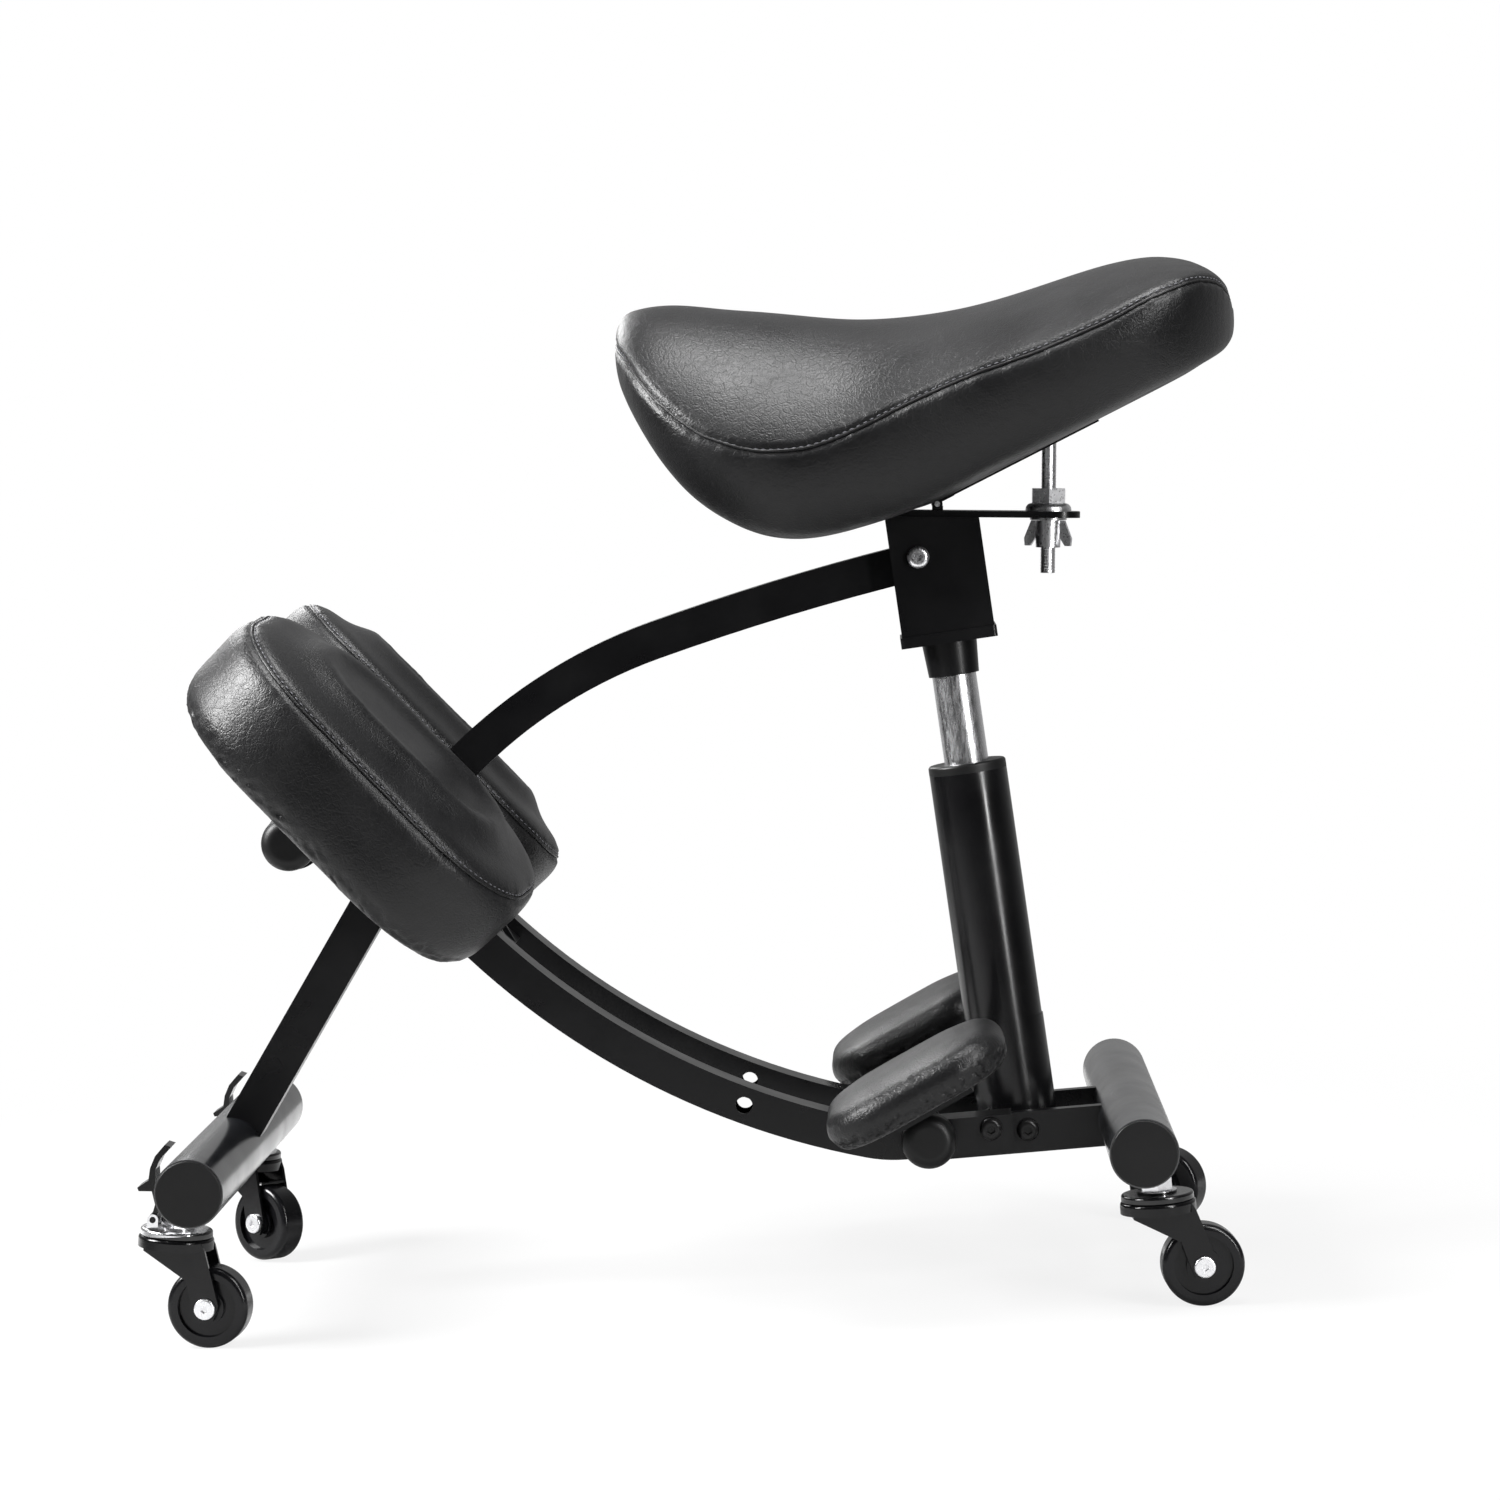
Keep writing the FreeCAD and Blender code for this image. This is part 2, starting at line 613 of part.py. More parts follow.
def column_point(along, across=0.0):
    return shifted(FOOT, across - COLUMN_AHEAD, along, COLUMN_LEAN)


foot = disc(SLEEVE_R, SLEEVE_LOW, SLEEVE_TOP).cut(disc(SLEEVE_R - SLEEVE_WALL, SLEEVE_LOW + 4, SLEEVE_TOP + 1))
spigot_r = COLUMN_R - COLUMN_WALL
spigot = ring(spigot_r, SLEEVE_R - SLEEVE_WALL - 2.5, SLEEVE_TOP - SPIGOT, SLEEVE_TOP + SPIGOT)
bush_reach = PLATE_IN - SIDE_GAP
pivot = (COLUMN_AHEAD, 0.0)
foot = foot.fuse([spigot, rod_x(pivot, FOOT_BUSH_R, -bush_reach, bush_reach)])
foot = foot.cut(rod_x(pivot, FOOT_PIN_R + FIT, -bush_reach - 1, bush_reach + 1))
save("column_foot", on_column(one_solid(foot)))
save("column_tube", on_column(ring(COLUMN_R, COLUMN_R - COLUMN_WALL, SLEEVE_TOP, COLUMN_TOP)))

top_ring = disc(COLUMN_R, COLUMN_TOP, COLUMN_TOP + RING_H)
top_ring = top_ring.makeFillet(2.0, [e for e in top_ring.Edges if e.BoundBox.ZMin > COLUMN_TOP + RING_H - 0.01])
top_ring = top_ring.fuse(disc(COLUMN_R - COLUMN_WALL, COLUMN_TOP - RING_NECK, COLUMN_TOP))
top_ring = top_ring.cut(disc(PISTON_R + FIT, COLUMN_TOP - RING_NECK - 1, COLUMN_TOP + RING_H + 1))
save("column_top_ring", on_column(one_solid(top_ring)))

piston = disc(PISTON_R, PISTON_LOW, PISTON_TOP).cut(disc(VALVE_R + FIT, VALVE_LOW - 6, PISTON_TOP + 1))
save("gas_piston", on_column(piston))
save("valve_pin", on_column(disc(VALVE_R, VALVE_LOW, VALVE_TOP)))

socket = disc(SOCKET_R, BOX_LOW, SOCKET_TOP)
nose = Part.makeCone(SOCKET_NOSE_R, SOCKET_R, BOX_LOW - SOCKET_LOW, V(0, 0, SOCKET_LOW))
socket = socket.fuse(nose).cut(disc(PISTON_R, SOCKET_LOW - 1, SOCKET_TOP + 1))
save("piston_socket", on_column(one_solid(socket)))

# Seat box: square tube on a lip plate, cut level under the seat plate
plate_rise = SEAT_PLATE_SLOPE


def on_seat_plate(shape, y):
    """Set a local shape down on the underside of the seat plate at a given y."""
    z = SEAT_PLATE_LOW[1] + (y - SEAT_PLATE_LOW[0]) * math.tan(rad(SEAT_PLATE_SLOPE))
    return placed(shape, (y, z), SEAT_PLATE_SLOPE)


LEVER_FULCRUM_X = -(BOX_SIZE - BOX_WALL) / 2
LEVER_POINT = column_point(VALVE_TOP + SIDE_GAP + LEVER_H / 2)


def seat_box():
    half = BOX_SIZE / 2
    lip = BOX_LIP / 2
    wall = half - BOX_WALL
    height = 120.0
    body = block(-half, half, -half, half, BOX_LOW, BOX_LOW + height)
    body = body.cut(block(-wall, wall, -wall, wall, BOX_LOW + BOX_LIP_H, BOX_LOW + height + 1))
    base = block(-lip, lip, -lip, lip, BOX_LOW, BOX_LOW + BOX_LIP_H)
    base = base.makeFillet(2.5, [e for e in base.Edges if abs(e.Length - BOX_LIP_H) < 0.01])
    body = body.fuse(base).cut(disc(SOCKET_R, BOX_LOW - 1, BOX_LOW + BOX_LIP_H + 1))
    body = on_column(body)
    above = block(-BOX_SIZE, BOX_SIZE, -BOX_SIZE * 2, BOX_SIZE * 2, 0, BOX_SIZE * 2)
    body = body.cut(on_seat_plate(above, SEAT_PLATE_LOW[0]))
    slot_half = ARC_WIDTH / 2 + 1.2
    window = block(-slot_half, slot_half, -half * 2, 0, -BOX_SLOT_H / 2, BOX_SLOT_H / 2)
    body = body.cut(placed(window, shifted(ARC_REAR, 0, -1.5), COLUMN_LEAN))
    body = body.cut(rod_x(ARC_REAR, BOX_PIN_R, -BOX_SIZE, BOX_SIZE))
    gap = block(-half - 1, -wall + 1, -LEVER_W / 2 - 0.6, LEVER_W / 2 + 0.6, -LEVER_H / 2 - 1.2, LEVER_H / 2 + 1.2)
    body = body.cut(placed(gap, LEVER_POINT, COLUMN_LEAN))
    return one_solid(max(body.Solids, key=lambda s: s.Volume))


save("seat_box", seat_box())

reach = BOX_SIZE / 2
inside = reach - BOX_WALL
spacer = rod_x(ARC_REAR, 9.0, ARC_WIDTH / 2 + SIDE_GAP, inside).cut(rod_x(ARC_REAR, BOX_PIN_R, 0, reach))
save("seat_box_bolt", *bolt_set(ARC_REAR, BOX_PIN_R, reach), spacer, mirrored(spacer))


# Release lever: rocks in a slot of the box wall and presses the valve pin
def release_lever():
    arm = block(LEVER_BEND_X, LEVER_INNER_X, -LEVER_W / 2, LEVER_W / 2, -LEVER_H / 2, LEVER_H / 2)
    grip = block(LEVER_END_X, LEVER_BEND_X, -GRIP_W / 2, GRIP_W / 2, -GRIP_H / 2, GRIP_H / 2)
    grip = grip.makeFillet(3.0, grip.Edges)
    return placed(one_solid(arm.fuse(grip)), LEVER_POINT, COLUMN_LEAN)


save("release_lever", release_lever())


# Seat plate with its hinge lug and the slot for the tilt rod
def seat_plate():
    front = SEAT_PLATE_FRONT_Y - ROD_Y
    back = SEAT_PLATE_REAR_Y - ROD_Y
    half = SEAT_PLATE_WIDTH / 2
    body = block(-half, half, front, back, 0, SEAT_PLATE_THICK)
    ends = [e for e in body.Edges if abs(e.Length - SEAT_PLATE_THICK) < 0.01 and e.BoundBox.YMin > back - 0.01]
    body = body.makeFillet(half * 0.6, ends)
    slot = block(-ROD_R - ROD_PLAY, ROD_R + ROD_PLAY, -ROD_SLOT, ROD_SLOT, -1, SEAT_PLATE_THICK + 1)
    for end in (-ROD_SLOT, ROD_SLOT):
        slot = slot.fuse(Part.makeCylinder(ROD_R + ROD_PLAY, SEAT_PLATE_THICK + 2, V(0, end, -1)))
    body = on_seat_plate(body.cut(slot), ROD_Y)
    width = HINGE_HALF / 3
    lug = block(-width, width, -HINGE_BARREL_R, HINGE_BARREL_R, 0, HINGE_BARREL_R * 2)
    lug = on_seat_plate(lug, HINGE[0]).cut(rod_x(HINGE, HINGE_BARREL_R, -HINGE_HALF, HINGE_HALF))
    top = block(-BOX_SIZE, BOX_SIZE, -BOX_SIZE, BOX_SIZE, 0, BOX_SIZE)
    lug = lug.cut(placed(top, HINGE, SEAT_PLATE_SLOPE))
    body = body.fuse([s for s in lug.Solids] + [rod_x(HINGE, HINGE_BARREL_R, -width, width)])
    body = body.cut(rod_x(HINGE, HINGE_PIN_R + FIT, -HINGE_HALF, HINGE_HALF))
    return one_solid(body)


save("seat_plate", seat_plate())

# Seat side of the hinge: two barrels on a leaf that is screwed under the board
LEAF_SLOPE = SEAT_SLOPE


def on_seat_base(shape, y):
    z = SEAT_BASE[1] + (y - SEAT_BASE[0]) * math.tan(rad(SEAT_SLOPE))
    return placed(shape, (y, z), SEAT_SLOPE)


def seat_leaf():
    along = (LEAF_REAR_Y - LEAF_FRONT_Y) / math.cos(rad(SEAT_SLOPE))
    body = on_seat_base(block(-LEAF_HALF, LEAF_HALF, 0, along, -LEAF_THICK, 0), LEAF_FRONT_Y)
    width = HINGE_HALF / 3
    for side in (-1, 1):
        x0, x1 = sorted((side * (width + SIDE_GAP), side * HINGE_HALF))
        barrel = rod_x(HINGE, HINGE_BARREL_R, x0, x1)
        start = shifted(HINGE, 0, HINGE_BARREL_R - LEAF_THICK, SEAT_SLOPE)
        tab = placed(block(x0, x1, 0, 12.0, -0.5, LEAF_THICK - 0.5), start, SEAT_SLOPE)
        body = body.fuse([barrel, tab])
    body = body.cut(rod_x(HINGE, HINGE_PIN_R, -HINGE_HALF - 1, HINGE_HALF + 1))
    return one_solid(body)


save("seat_hinge_leaf", seat_leaf())
save("seat_hinge_pin", rod_x(HINGE, HINGE_PIN_R, -HINGE_HALF - 1.5, HINGE_HALF + 1.5))

# Tilt rod: hangs from the leaf through the plate, held by a hex nut above and a wing nut below
rod_top = 60.0
rod = on_seat_plate(disc(ROD_R, ROD_LOW, rod_top), ROD_Y)
under_leaf = on_seat_base(block(-BOX_SIZE, BOX_SIZE, -BOX_SIZE, BOX_SIZE, -LEAF_THICK, BOX_SIZE), ROD_Y)
rod = rod.cut(under_leaf)
save("tilt_rod", one_solid(rod))

bore = ROD_R + ROD_PLAY
plate_top = SEAT_PLATE_THICK
washer_top = disc(WASHER_R, plate_top, plate_top + WASHER_H)
washer_top = washer_top.makeFillet(4.0, [e for e in washer_top.Edges if e.BoundBox.ZMin > plate_top + 0.1])
washer_top = washer_top.cut(disc(bore, plate_top - 1, plate_top + WASHER_H + 1))
washer_low = ring(WASHER_R * 0.8, bore, -LOW_WASHER_H, 0)
hexnut = hex_prism(HEX_FLATS, plate_top + WASHER_H, plate_top + WASHER_H + HEX_H)
hexnut = hexnut.cut(disc(bore, 0, plate_top + WASHER_H + HEX_H + 1))
save("tilt_nut_and_washers", *[on_seat_plate(s, ROD_Y) for s in (washer_top, washer_low, hexnut)])


def wing_nut():
    top = -LOW_WASHER_H - SIDE_GAP
    body = Part.makeCone(WING_HUB_R * 0.92, WING_HUB_R, WING_HUB_H, V(0, 0, top - WING_HUB_H))
    for side in (-1, 1):
        inner, outer = side * WING_HUB_R * 0.8, side * WING_SPAN
        wing = [V(inner, -1.5, top), V(side * WING_HUB_R * 1.3, -1.5, top), V(outer, -1.5, top - WING_DROP * 0.7),
                V(outer * 0.97, -1.5, top - WING_DROP), V(outer * 0.74, -1.5, top - WING_DROP),
                V(inner, -1.5, top - WING_DROP * 0.55)]
        face = Part.Face(Part.makePolygon(wing + wing[:1]))
        body = body.fuse(face.extrude(V(0, 3.0, 0)))
    body = body.cut(disc(bore, top - WING_HUB_H * 2, top + 1))
    body.rotate(V(0, 0, 0), V(0, 0, 1), 70)
    return on_seat_plate(one_solid(body), ROD_Y)


save("wing_nut", wing_nut())


# Saddle cushion: one loft through its cross sections, with a pocket for the board
def saddle_section(y, ridge, seam, half, low, low_half):
    y = y + SADDLE_Y
    side_mid = ((half + low_half) / 2 + SEAT_SIDE_BULGE * min(1.0, (seam - low) / 40.0), (seam + low) / 2)
    right, left = V(low_half, y, low), V(-low_half, y, low)
    edges = [Part.LineSegment(left, right).toShape(),
             Part.Arc(right, V(side_mid[0], y, side_mid[1]), V(half, y, seam)).toShape(),
             Part.Arc(V(half, y, seam), V(0, y, ridge), V(-half, y, seam)).toShape(),
             Part.Arc(V(-half, y, seam), V(-side_mid[0], y, side_mid[1]), left).toShape()]
    return Part.Wire(edges)


saddle = Part.makeLoft([saddle_section(*row) for row in SADDLE], True, False)
board_run = (SEAT_BOARD_REAR_Y - SEAT_BOARD_FRONT_Y) / math.cos(rad(SEAT_SLOPE))
board = block(-SEAT_BOARD_HALF, SEAT_BOARD_HALF, 0, board_run, 0, BOARD_THICK)
board = board.makeFillet(40.0, [e for e in board.Edges if abs(e.Length - BOARD_THICK) < 0.01])
board = on_seat_base(board, SEAT_BOARD_FRONT_Y)
below = on_seat_base(block(-BAR_LENGTH / 2, BAR_LENGTH / 2, 0, board_run + 60, -60, 0), SEAT_BOARD_FRONT_Y - 4)
saddle = saddle.cut(below).cut(board)
half = BOX_LIP / 2 + PLATE_CLEAR
notch_top = SEAT_PLATE_THICK + PLATE_CLEAR
notch = block(-half, half, -PLATE_CLEAR * 4, BOX_LIP / 2, -BOX_LIP, notch_top)
saddle = saddle.cut(on_seat_plate(notch, SEAT_PLATE_FRONT_Y))
save("seat_board", board)
save("seat_cushion", one_solid(saddle))


# Padded boards of the knees and ankles, built flat with the base at zero
def outline(length, width, corner, inset, z):
    """Rounded rectangle drawn in by inset, as four arcs joined by four lines."""
    a, b = width / 2 - inset, length / 2 - inset
    r = max(min(corner - inset * 0.8, a * 0.98, b * 0.98), 3.0)
    corners = [(a - r, b - r, 0), (-a + r, b - r, 90), (-a + r, -b + r, 180), (a - r, -b + r, 270)]
    arcs = []
    for cx, cy, start in corners:
        arcs.append([V(cx + r * math.cos(rad(start + t)), cy + r * math.sin(rad(start + t)), z) for t in (0, 45, 90)])
    edges = []
    for i in range(4):
        edges.append(Part.Arc(*arcs[i]).toShape())
        edges.append(Part.LineSegment(arcs[i][2], arcs[(i + 1) % 4][0]).toShape())
    return Part.Wire(edges)


def cushion(length, width, corner, profile):
    return Part.makeLoft([outline(length, width, corner, inset, z) for z, inset in profile], True, False)


def flat_board(length, width, corner, inset, thick):
    return Part.Face(outline(length, width, corner, inset, 0)).extrude(V(0, 0, thick))


def knee_frame(shape):
    """Left knee pad: local Y runs down the pad, local Z is out of its face."""
    origin = shifted(KNEE_TUBE, KNEE_ALONG, KNEE_RISE, -KNEE_SLOPE)
    return placed(shape, origin, -KNEE_SLOPE, KNEE_X, KNEE_ROLL)


knee_board = flat_board(KNEE_LENGTH, KNEE_WIDTH, KNEE_CORNER, KNEE_BOARD_INSET, BOARD_THICK)
knee_pad = cushion(KNEE_LENGTH, KNEE_WIDTH, KNEE_CORNER, KNEE_PROFILE).cut(knee_board)
knee_board, knee_pad = knee_frame(knee_board), knee_frame(knee_pad)
save("knee_board_left", knee_board)
save("knee_board_right", mirrored(knee_board))
save("knee_cushion_left", one_solid(knee_pad))
save("knee_cushion_right", mirrored(one_solid(knee_pad)))

# Knee tube fixed in the hub, with threaded ends for the two hand knobs
tube = rod_x(KNEE_TUBE, KNEE_TUBE_R, -KNEE_TUBE_HALF, KNEE_TUBE_HALF)
tube = tube.cut(rod_x(KNEE_TUBE, KNEE_TUBE_R - KNEE_TUBE_WALL, -KNEE_TUBE_HALF + KNEE_END, KNEE_TUBE_HALF - KNEE_END))
tube = tube.cut(rod_x(KNEE_TUBE, KNOB_STEM_R + FIT, -KNEE_TUBE_HALF - 1, KNEE_TUBE_HALF + 1))
save("knee_cross_tube", tube)


def knee_bracket():
    x0, x1 = KNEE_RING_X, KNEE_RING_X + KNEE_RING_W
    width, length, thick = KNEE_FLANGE
    flange = block(-width / 2, width / 2, -length / 2, length / 2, -thick, 0)
    flange.translate(V(KNEE_RING_X + width / 2 - KNEE_X, -KNEE_ALONG, 0))
    flange = knee_frame(flange)
    top = knee_frame(block(-KNEE_WIDTH, KNEE_WIDTH, -KNEE_LENGTH, KNEE_LENGTH, -thick / 2, KNEE_LENGTH))
    web = placed(block(x0, x1, -KNEE_RING_R, KNEE_RING_R, 0, KNEE_LENGTH / 2), KNEE_TUBE, -KNEE_SLOPE)
    body = rod_x(KNEE_TUBE, KNEE_RING_R, x0, x1).fuse(web.cut(top))
    body = body.fuse(flange).cut(rod_x(KNEE_TUBE, KNEE_TUBE_R + FIT, x0 - 1, x1 + 1))
    return one_solid(body)


save("knee_bracket_left", knee_bracket())
save("knee_bracket_right", mirrored(knee_bracket()))


def hand_knob(point, radius, width, x0, stem_r, stem):
    head = rod_x(point, radius, x0, x0 + width)
    rim = [e for e in head.Edges if e.BoundBox.XMin > x0 + width - 0.01]
    head = head.makeFillet(width * 0.45, rim)
    return one_solid(head.fuse(rod_x(point, stem_r, x0 - stem, x0)))


knee_knob = hand_knob(KNEE_TUBE, KNOB_R, KNOB_W, KNEE_TUBE_HALF + SIDE_GAP, KNOB_STEM_R, KNEE_END)
save("knee_knob_left", knee_knob)
save("knee_knob_right", mirrored(knee_knob))


# Ankle pads
def ankle_frame(shape):
    origin = shifted(ANKLE_ROD, ANKLE_ALONG, ANKLE_RISE, ANKLE_SLOPE)
    return placed(shape, origin, ANKLE_SLOPE, ANKLE_X)


ankle_board = flat_board(ANKLE_LENGTH, ANKLE_WIDTH, ANKLE_CORNER, ANKLE_BOARD_INSET, ANKLE_BOARD)
ankle_pad = cushion(ANKLE_LENGTH, ANKLE_WIDTH, ANKLE_CORNER, ANKLE_PROFILE).cut(ankle_board)
ankle_board, ankle_pad = ankle_frame(ankle_board), ankle_frame(ankle_pad)
save("ankle_boards", ankle_board, mirrored(ankle_board))
save("ankle_cushion_left", one_solid(ankle_pad))
save("ankle_cushion_right", mirrored(one_solid(ankle_pad)))


def ankle_bracket():
    x0 = RAIL_X + TUBE / 2 + SIDE_GAP
    x1 = x0 + EAR_THICK
    back, front, thick = ANKLE_FLANGE
    flange = ankle_frame(block(x0 - ANKLE_X, ANKLE_FLANGE_REACH - ANKLE_X, back, front, -thick, 0))
    above = ankle_frame(block(-ANKLE_X, ANKLE_X, -ANKLE_LENGTH, ANKLE_LENGTH, -thick / 2, ANKLE_LENGTH))
    web = block(x0, x1, -EAR_R, EAR_R, 0, ANKLE_RISE * 1.5)
    web = placed(web, ANKLE_ROD, ANKLE_SLOPE).cut(above)
    body = rod_x(ANKLE_ROD, EAR_R, x0, x1).fuse([web, flange])
    body = body.cut(rod_x(ANKLE_ROD, ANKLE_ROD_R + FIT, x0 - 1, x1 + 1))
    return one_solid(body)


save("ankle_brackets", ankle_bracket(), mirrored(ankle_bracket()))
rod = rod_x(ANKLE_ROD, ANKLE_ROD_R, -ANKLE_ROD_HALF, ANKLE_ROD_HALF)
rod = rod.cut(rod_x(ANKLE_ROD, KNOB_STEM_R * 0.75 + FIT, -ANKLE_ROD_HALF - 1, ANKLE_ROD_HALF + 1))
save("ankle_cross_rod", rod)
knob_x = ANKLE_ROD_HALF + SIDE_GAP
ankle_knob = hand_knob(ANKLE_ROD, ANKLE_KNOB_R, ANKLE_KNOB_W, knob_x, KNOB_STEM_R * 0.75, KNEE_END)
save("ankle_knob_left", ankle_knob)
save("ankle_knob_right", mirrored(ankle_knob))


# Casters, built with the axle at the origin, the stem at -TRAIL and the wheel standing in YZ
def stem_drop(side):
    """Distance along the stem line from bar height down to the axle's level."""
    rake = rad(STEM_RAKE[side])
    lean = math.sin(rake) * TRAIL * (1.0 if side == 0 else -1.0)
    return (BAR_Z - WHEEL_R - lean) / math.cos(rake)


def on_caster(shape, name, swivelled=True):
    side = 0 if name.startswith("front") else 1
    rake = -STEM_RAKE[0] if side == 0 else STEM_RAKE[1]
    stem = FRONT_STEM if side == 0 else REAR_STEM
    x = CASTER_X if name.endswith("left") else -CASTER_X
    out = shape.copy()
    out.translate(V(0, TRAIL, 0))
    if swivelled:
        out.rotate(V(0, 0, 0), V(0, 0, 1), -SWIVELS[name])
    out.translate(V(0, 0, -stem_drop(side)))
    return placed(out, stem, rake, x)


def caster_stem(side):
    reach = stem_drop(side)
    body = Part.makeCylinder(STEM_R, reach + STEM_UP - TOP_PLATE_LOW, V(0, -TRAIL, TOP_PLATE_LOW))
    nut = hex_prism(STEM_NUT_FLATS, STEM_NUT_LOW, reach)
    nut.translate(V(0, -TRAIL, 0))
    return body.fuse(nut)


def seated_stem(name):
    side = 0 if name.startswith("front") else 1
    bar_y = FRONT_BAR_Y if side == 0 else REAR_BAR_Y
    body = on_caster(caster_stem(side), name, False)
    bar = rod_x((bar_y, BAR_Z), BAR_R, -BAR_LENGTH / 2, BAR_LENGTH / 2)
    stem_line = Part.makeCylinder(STEM_R, stem_drop(side) + STEM_UP - TOP_PLATE_LOW, V(0, -TRAIL, TOP_PLATE_LOW))
    lower = body.cut(bar)
    lower = max(lower.Solids, key=lambda s: s.Volume)
    return one_solid(lower.fuse(on_caster(stem_line, name, False)))


def top_plate(front):
    body = Part.makeCylinder(TOP_PLATE_R, TOP_PLATE_H, V(0, -TRAIL, TOP_PLATE_LOW))
    body = body.makeFillet(1.5, [e for e in body.Edges if e.BoundBox.ZMin > TOP_PLATE_LOW + TOP_PLATE_H - 0.01])
    body = body.fuse(Part.makeCylinder(STEM_R + 7, STEM_NUT_LOW - TOP_PLATE_LOW, V(0, -TRAIL, TOP_PLATE_LOW)))
    if front:
        y, z = BRAKE_PIVOT[0] - TRAIL, BRAKE_PIVOT[1] + BRAKE_RISE
        for side in (-1, 1):
            x0, x1 = sorted((side * (BRAKE_HALF + SIDE_GAP), side * (BRAKE_HALF + SIDE_GAP + 2)))
            ear = block(x0, x1, y - BRAKE_BARREL_R, y + BRAKE_BARREL_R, TOP_PLATE_LOW + 1, z)
            body = body.fuse([ear, rod_x((y, z), BRAKE_BARREL_R, x0, x1)])
        body = body.cut(rod_x((y, z), BRAKE_PIN_R + FIT, -30, 30))
    return body.cut(Part.makeCylinder(STEM_R, 30, V(0, -TRAIL, TOP_PLATE_LOW - 1)))


def fork():
    """Cup shaped top on two legs that reach down to the axle, with a web in front."""
    low, high = FORK_PLATE_LOW, FORK_PLATE_LOW + FORK_PLATE_H
    cup = Part.makeCylinder(FORK_R, FORK_PLATE_H, V(0, -TRAIL, low))
    cup = cup.makeFillet(2.0, [e for e in cup.Edges if e.BoundBox.ZMin > high - 0.01])
    cup = cup.cut(Part.makeCylinder(FORK_R - FORK_WALL, FORK_PLATE_H, V(0, -TRAIL, low - FORK_WALL)))
    front, back = -TRAIL - FORK_R * 0.72, -TRAIL + FORK_R * 0.8
    outline_points = [(front, high - 1), (back, high - 1), (back + 3, high - 6), (8.0, 2.5), (5.5, -7.0),
                      (-5.5, -7.0), (-9.0, 2.0), (-13.0, 16.0), (front, low - 2)]
    body = cup
    for side in (-1, 1):
        x0, x1 = sorted((side * (FORK_HALF - FORK_WALL), side * FORK_HALF))
        leg_plate = prism_x(outline_points, x0, x1)
        body = body.fuse(leg_plate)
    web = prism_x([(front, high - 2), (front, low - 2), (-19.5, 21.5), (-17.8, 22.8), (front + 3.5, low),
                   (front + 3.5, high - 2)], -FORK_HALF, FORK_HALF)
    body = body.fuse(web)
    body = body.cut(rod_x((0, 0), AXLE_R, -FORK_HALF - 1, FORK_HALF + 1))
    body = body.cut(Part.makeCylinder(STEM_R + SIDE_GAP, 60, V(0, -TRAIL, 0)))
    return one_solid(max(body.Solids, key=lambda s: s.Volume))


def axle():
    head = FORK_HALF + AXLE_HEAD_H
    body = rod_x((0, 0), AXLE_R, -FORK_HALF, FORK_HALF)
    cap = rod_x((0, 0), AXLE_HEAD_R, FORK_HALF, head)
    cap = cap.makeFillet(AXLE_HEAD_H * 0.5, [e for e in cap.Edges if e.BoundBox.XMin > head - 0.01])
    cap = cap.cut(hex_x((0, 0), 4.0, head - 1.5, head + 1))
    far_cap = mirrored(cap)
    return one_solid(body.fuse([cap, far_cap]))


def wheel():
    """Turned about X: a plain rounded rim, a dished side and a hub boss."""
    half = WHEEL_W / 2
    body = rod_x((0, 0), WHEEL_R, -half, half)
    body = body.makeFillet(3.5, [e for e in body.Edges if abs(e.BoundBox.XLength) < 0.01])
    for side in (-1, 1):
        x0, x1 = sorted((side * (half - 3.0), side * (half + 1)))
        dish = rod_x((0, 0), WHEEL_R * 0.72, x0, x1).cut(rod_x((0, 0), WHEEL_R * 0.42, x0, x1))
        body = body.cut(dish)
    boss = FORK_HALF - FORK_WALL - SIDE_GAP
    body = body.fuse(rod_x((0, 0), WHEEL_R * 0.3, -boss, boss))
    body = body.cut(rod_x((0, 0), HUB_BORE_R, -boss - 1, boss + 1))
    return one_solid(body)


def brake_lever():
    """S shaped pedal that stands in front of the bar; side points are relative to the pivot."""
    t = BRAKE_THICK
    pedal = [(-t / 2, 0.0), (0.5, 9.0), (-2.0, 17.0), (-10.0, 16.5), (-11.0, 18.5), (-4.5, 23.5), (-4.0, 31.0),
             (-1.5, 38.5), (4.0, 46.0), (8.0, 45.0), (1.8, 37.0), (-0.8, 30.0), (0.0, 23.0), (3.6, 10.0), (t / 2, 0.0)]
    body = prism_x(pedal, -BRAKE_HALF, BRAKE_HALF)
    body = body.fuse(rod_x((0, 0), BRAKE_BARREL_R, -BRAKE_HALF, BRAKE_HALF))
    body = body.fuse(rod_x((0, 0), BRAKE_PIN_R, -BRAKE_HALF - 3, BRAKE_HALF + 3))
    body = one_solid(body)
    body.translate(V(0, BRAKE_PIVOT[0] - TRAIL, BRAKE_PIVOT[1] + BRAKE_RISE))
    return body


NAMES = list(SWIVELS)
stems = [seated_stem(n).fuse(on_caster(top_plate(n.startswith("front")), n, False)) for n in NAMES]
save("caster_stems", *[one_solid(stem) for stem in stems])
for name in NAMES:
    save("fork_" + name, on_caster(fork(), name))
    save("axle_" + name, on_caster(axle(), name))
    save("wheel_" + name, on_caster(wheel(), name))
    if name.startswith("front"):
        save("brake_lever_" + name, on_caster(brake_lever(), name, False))


# Places that the joints need
def report(label, point, extra=""):
    print("%s at y %.3f z %.3f %s" % (label, point[0], point[1], extra))


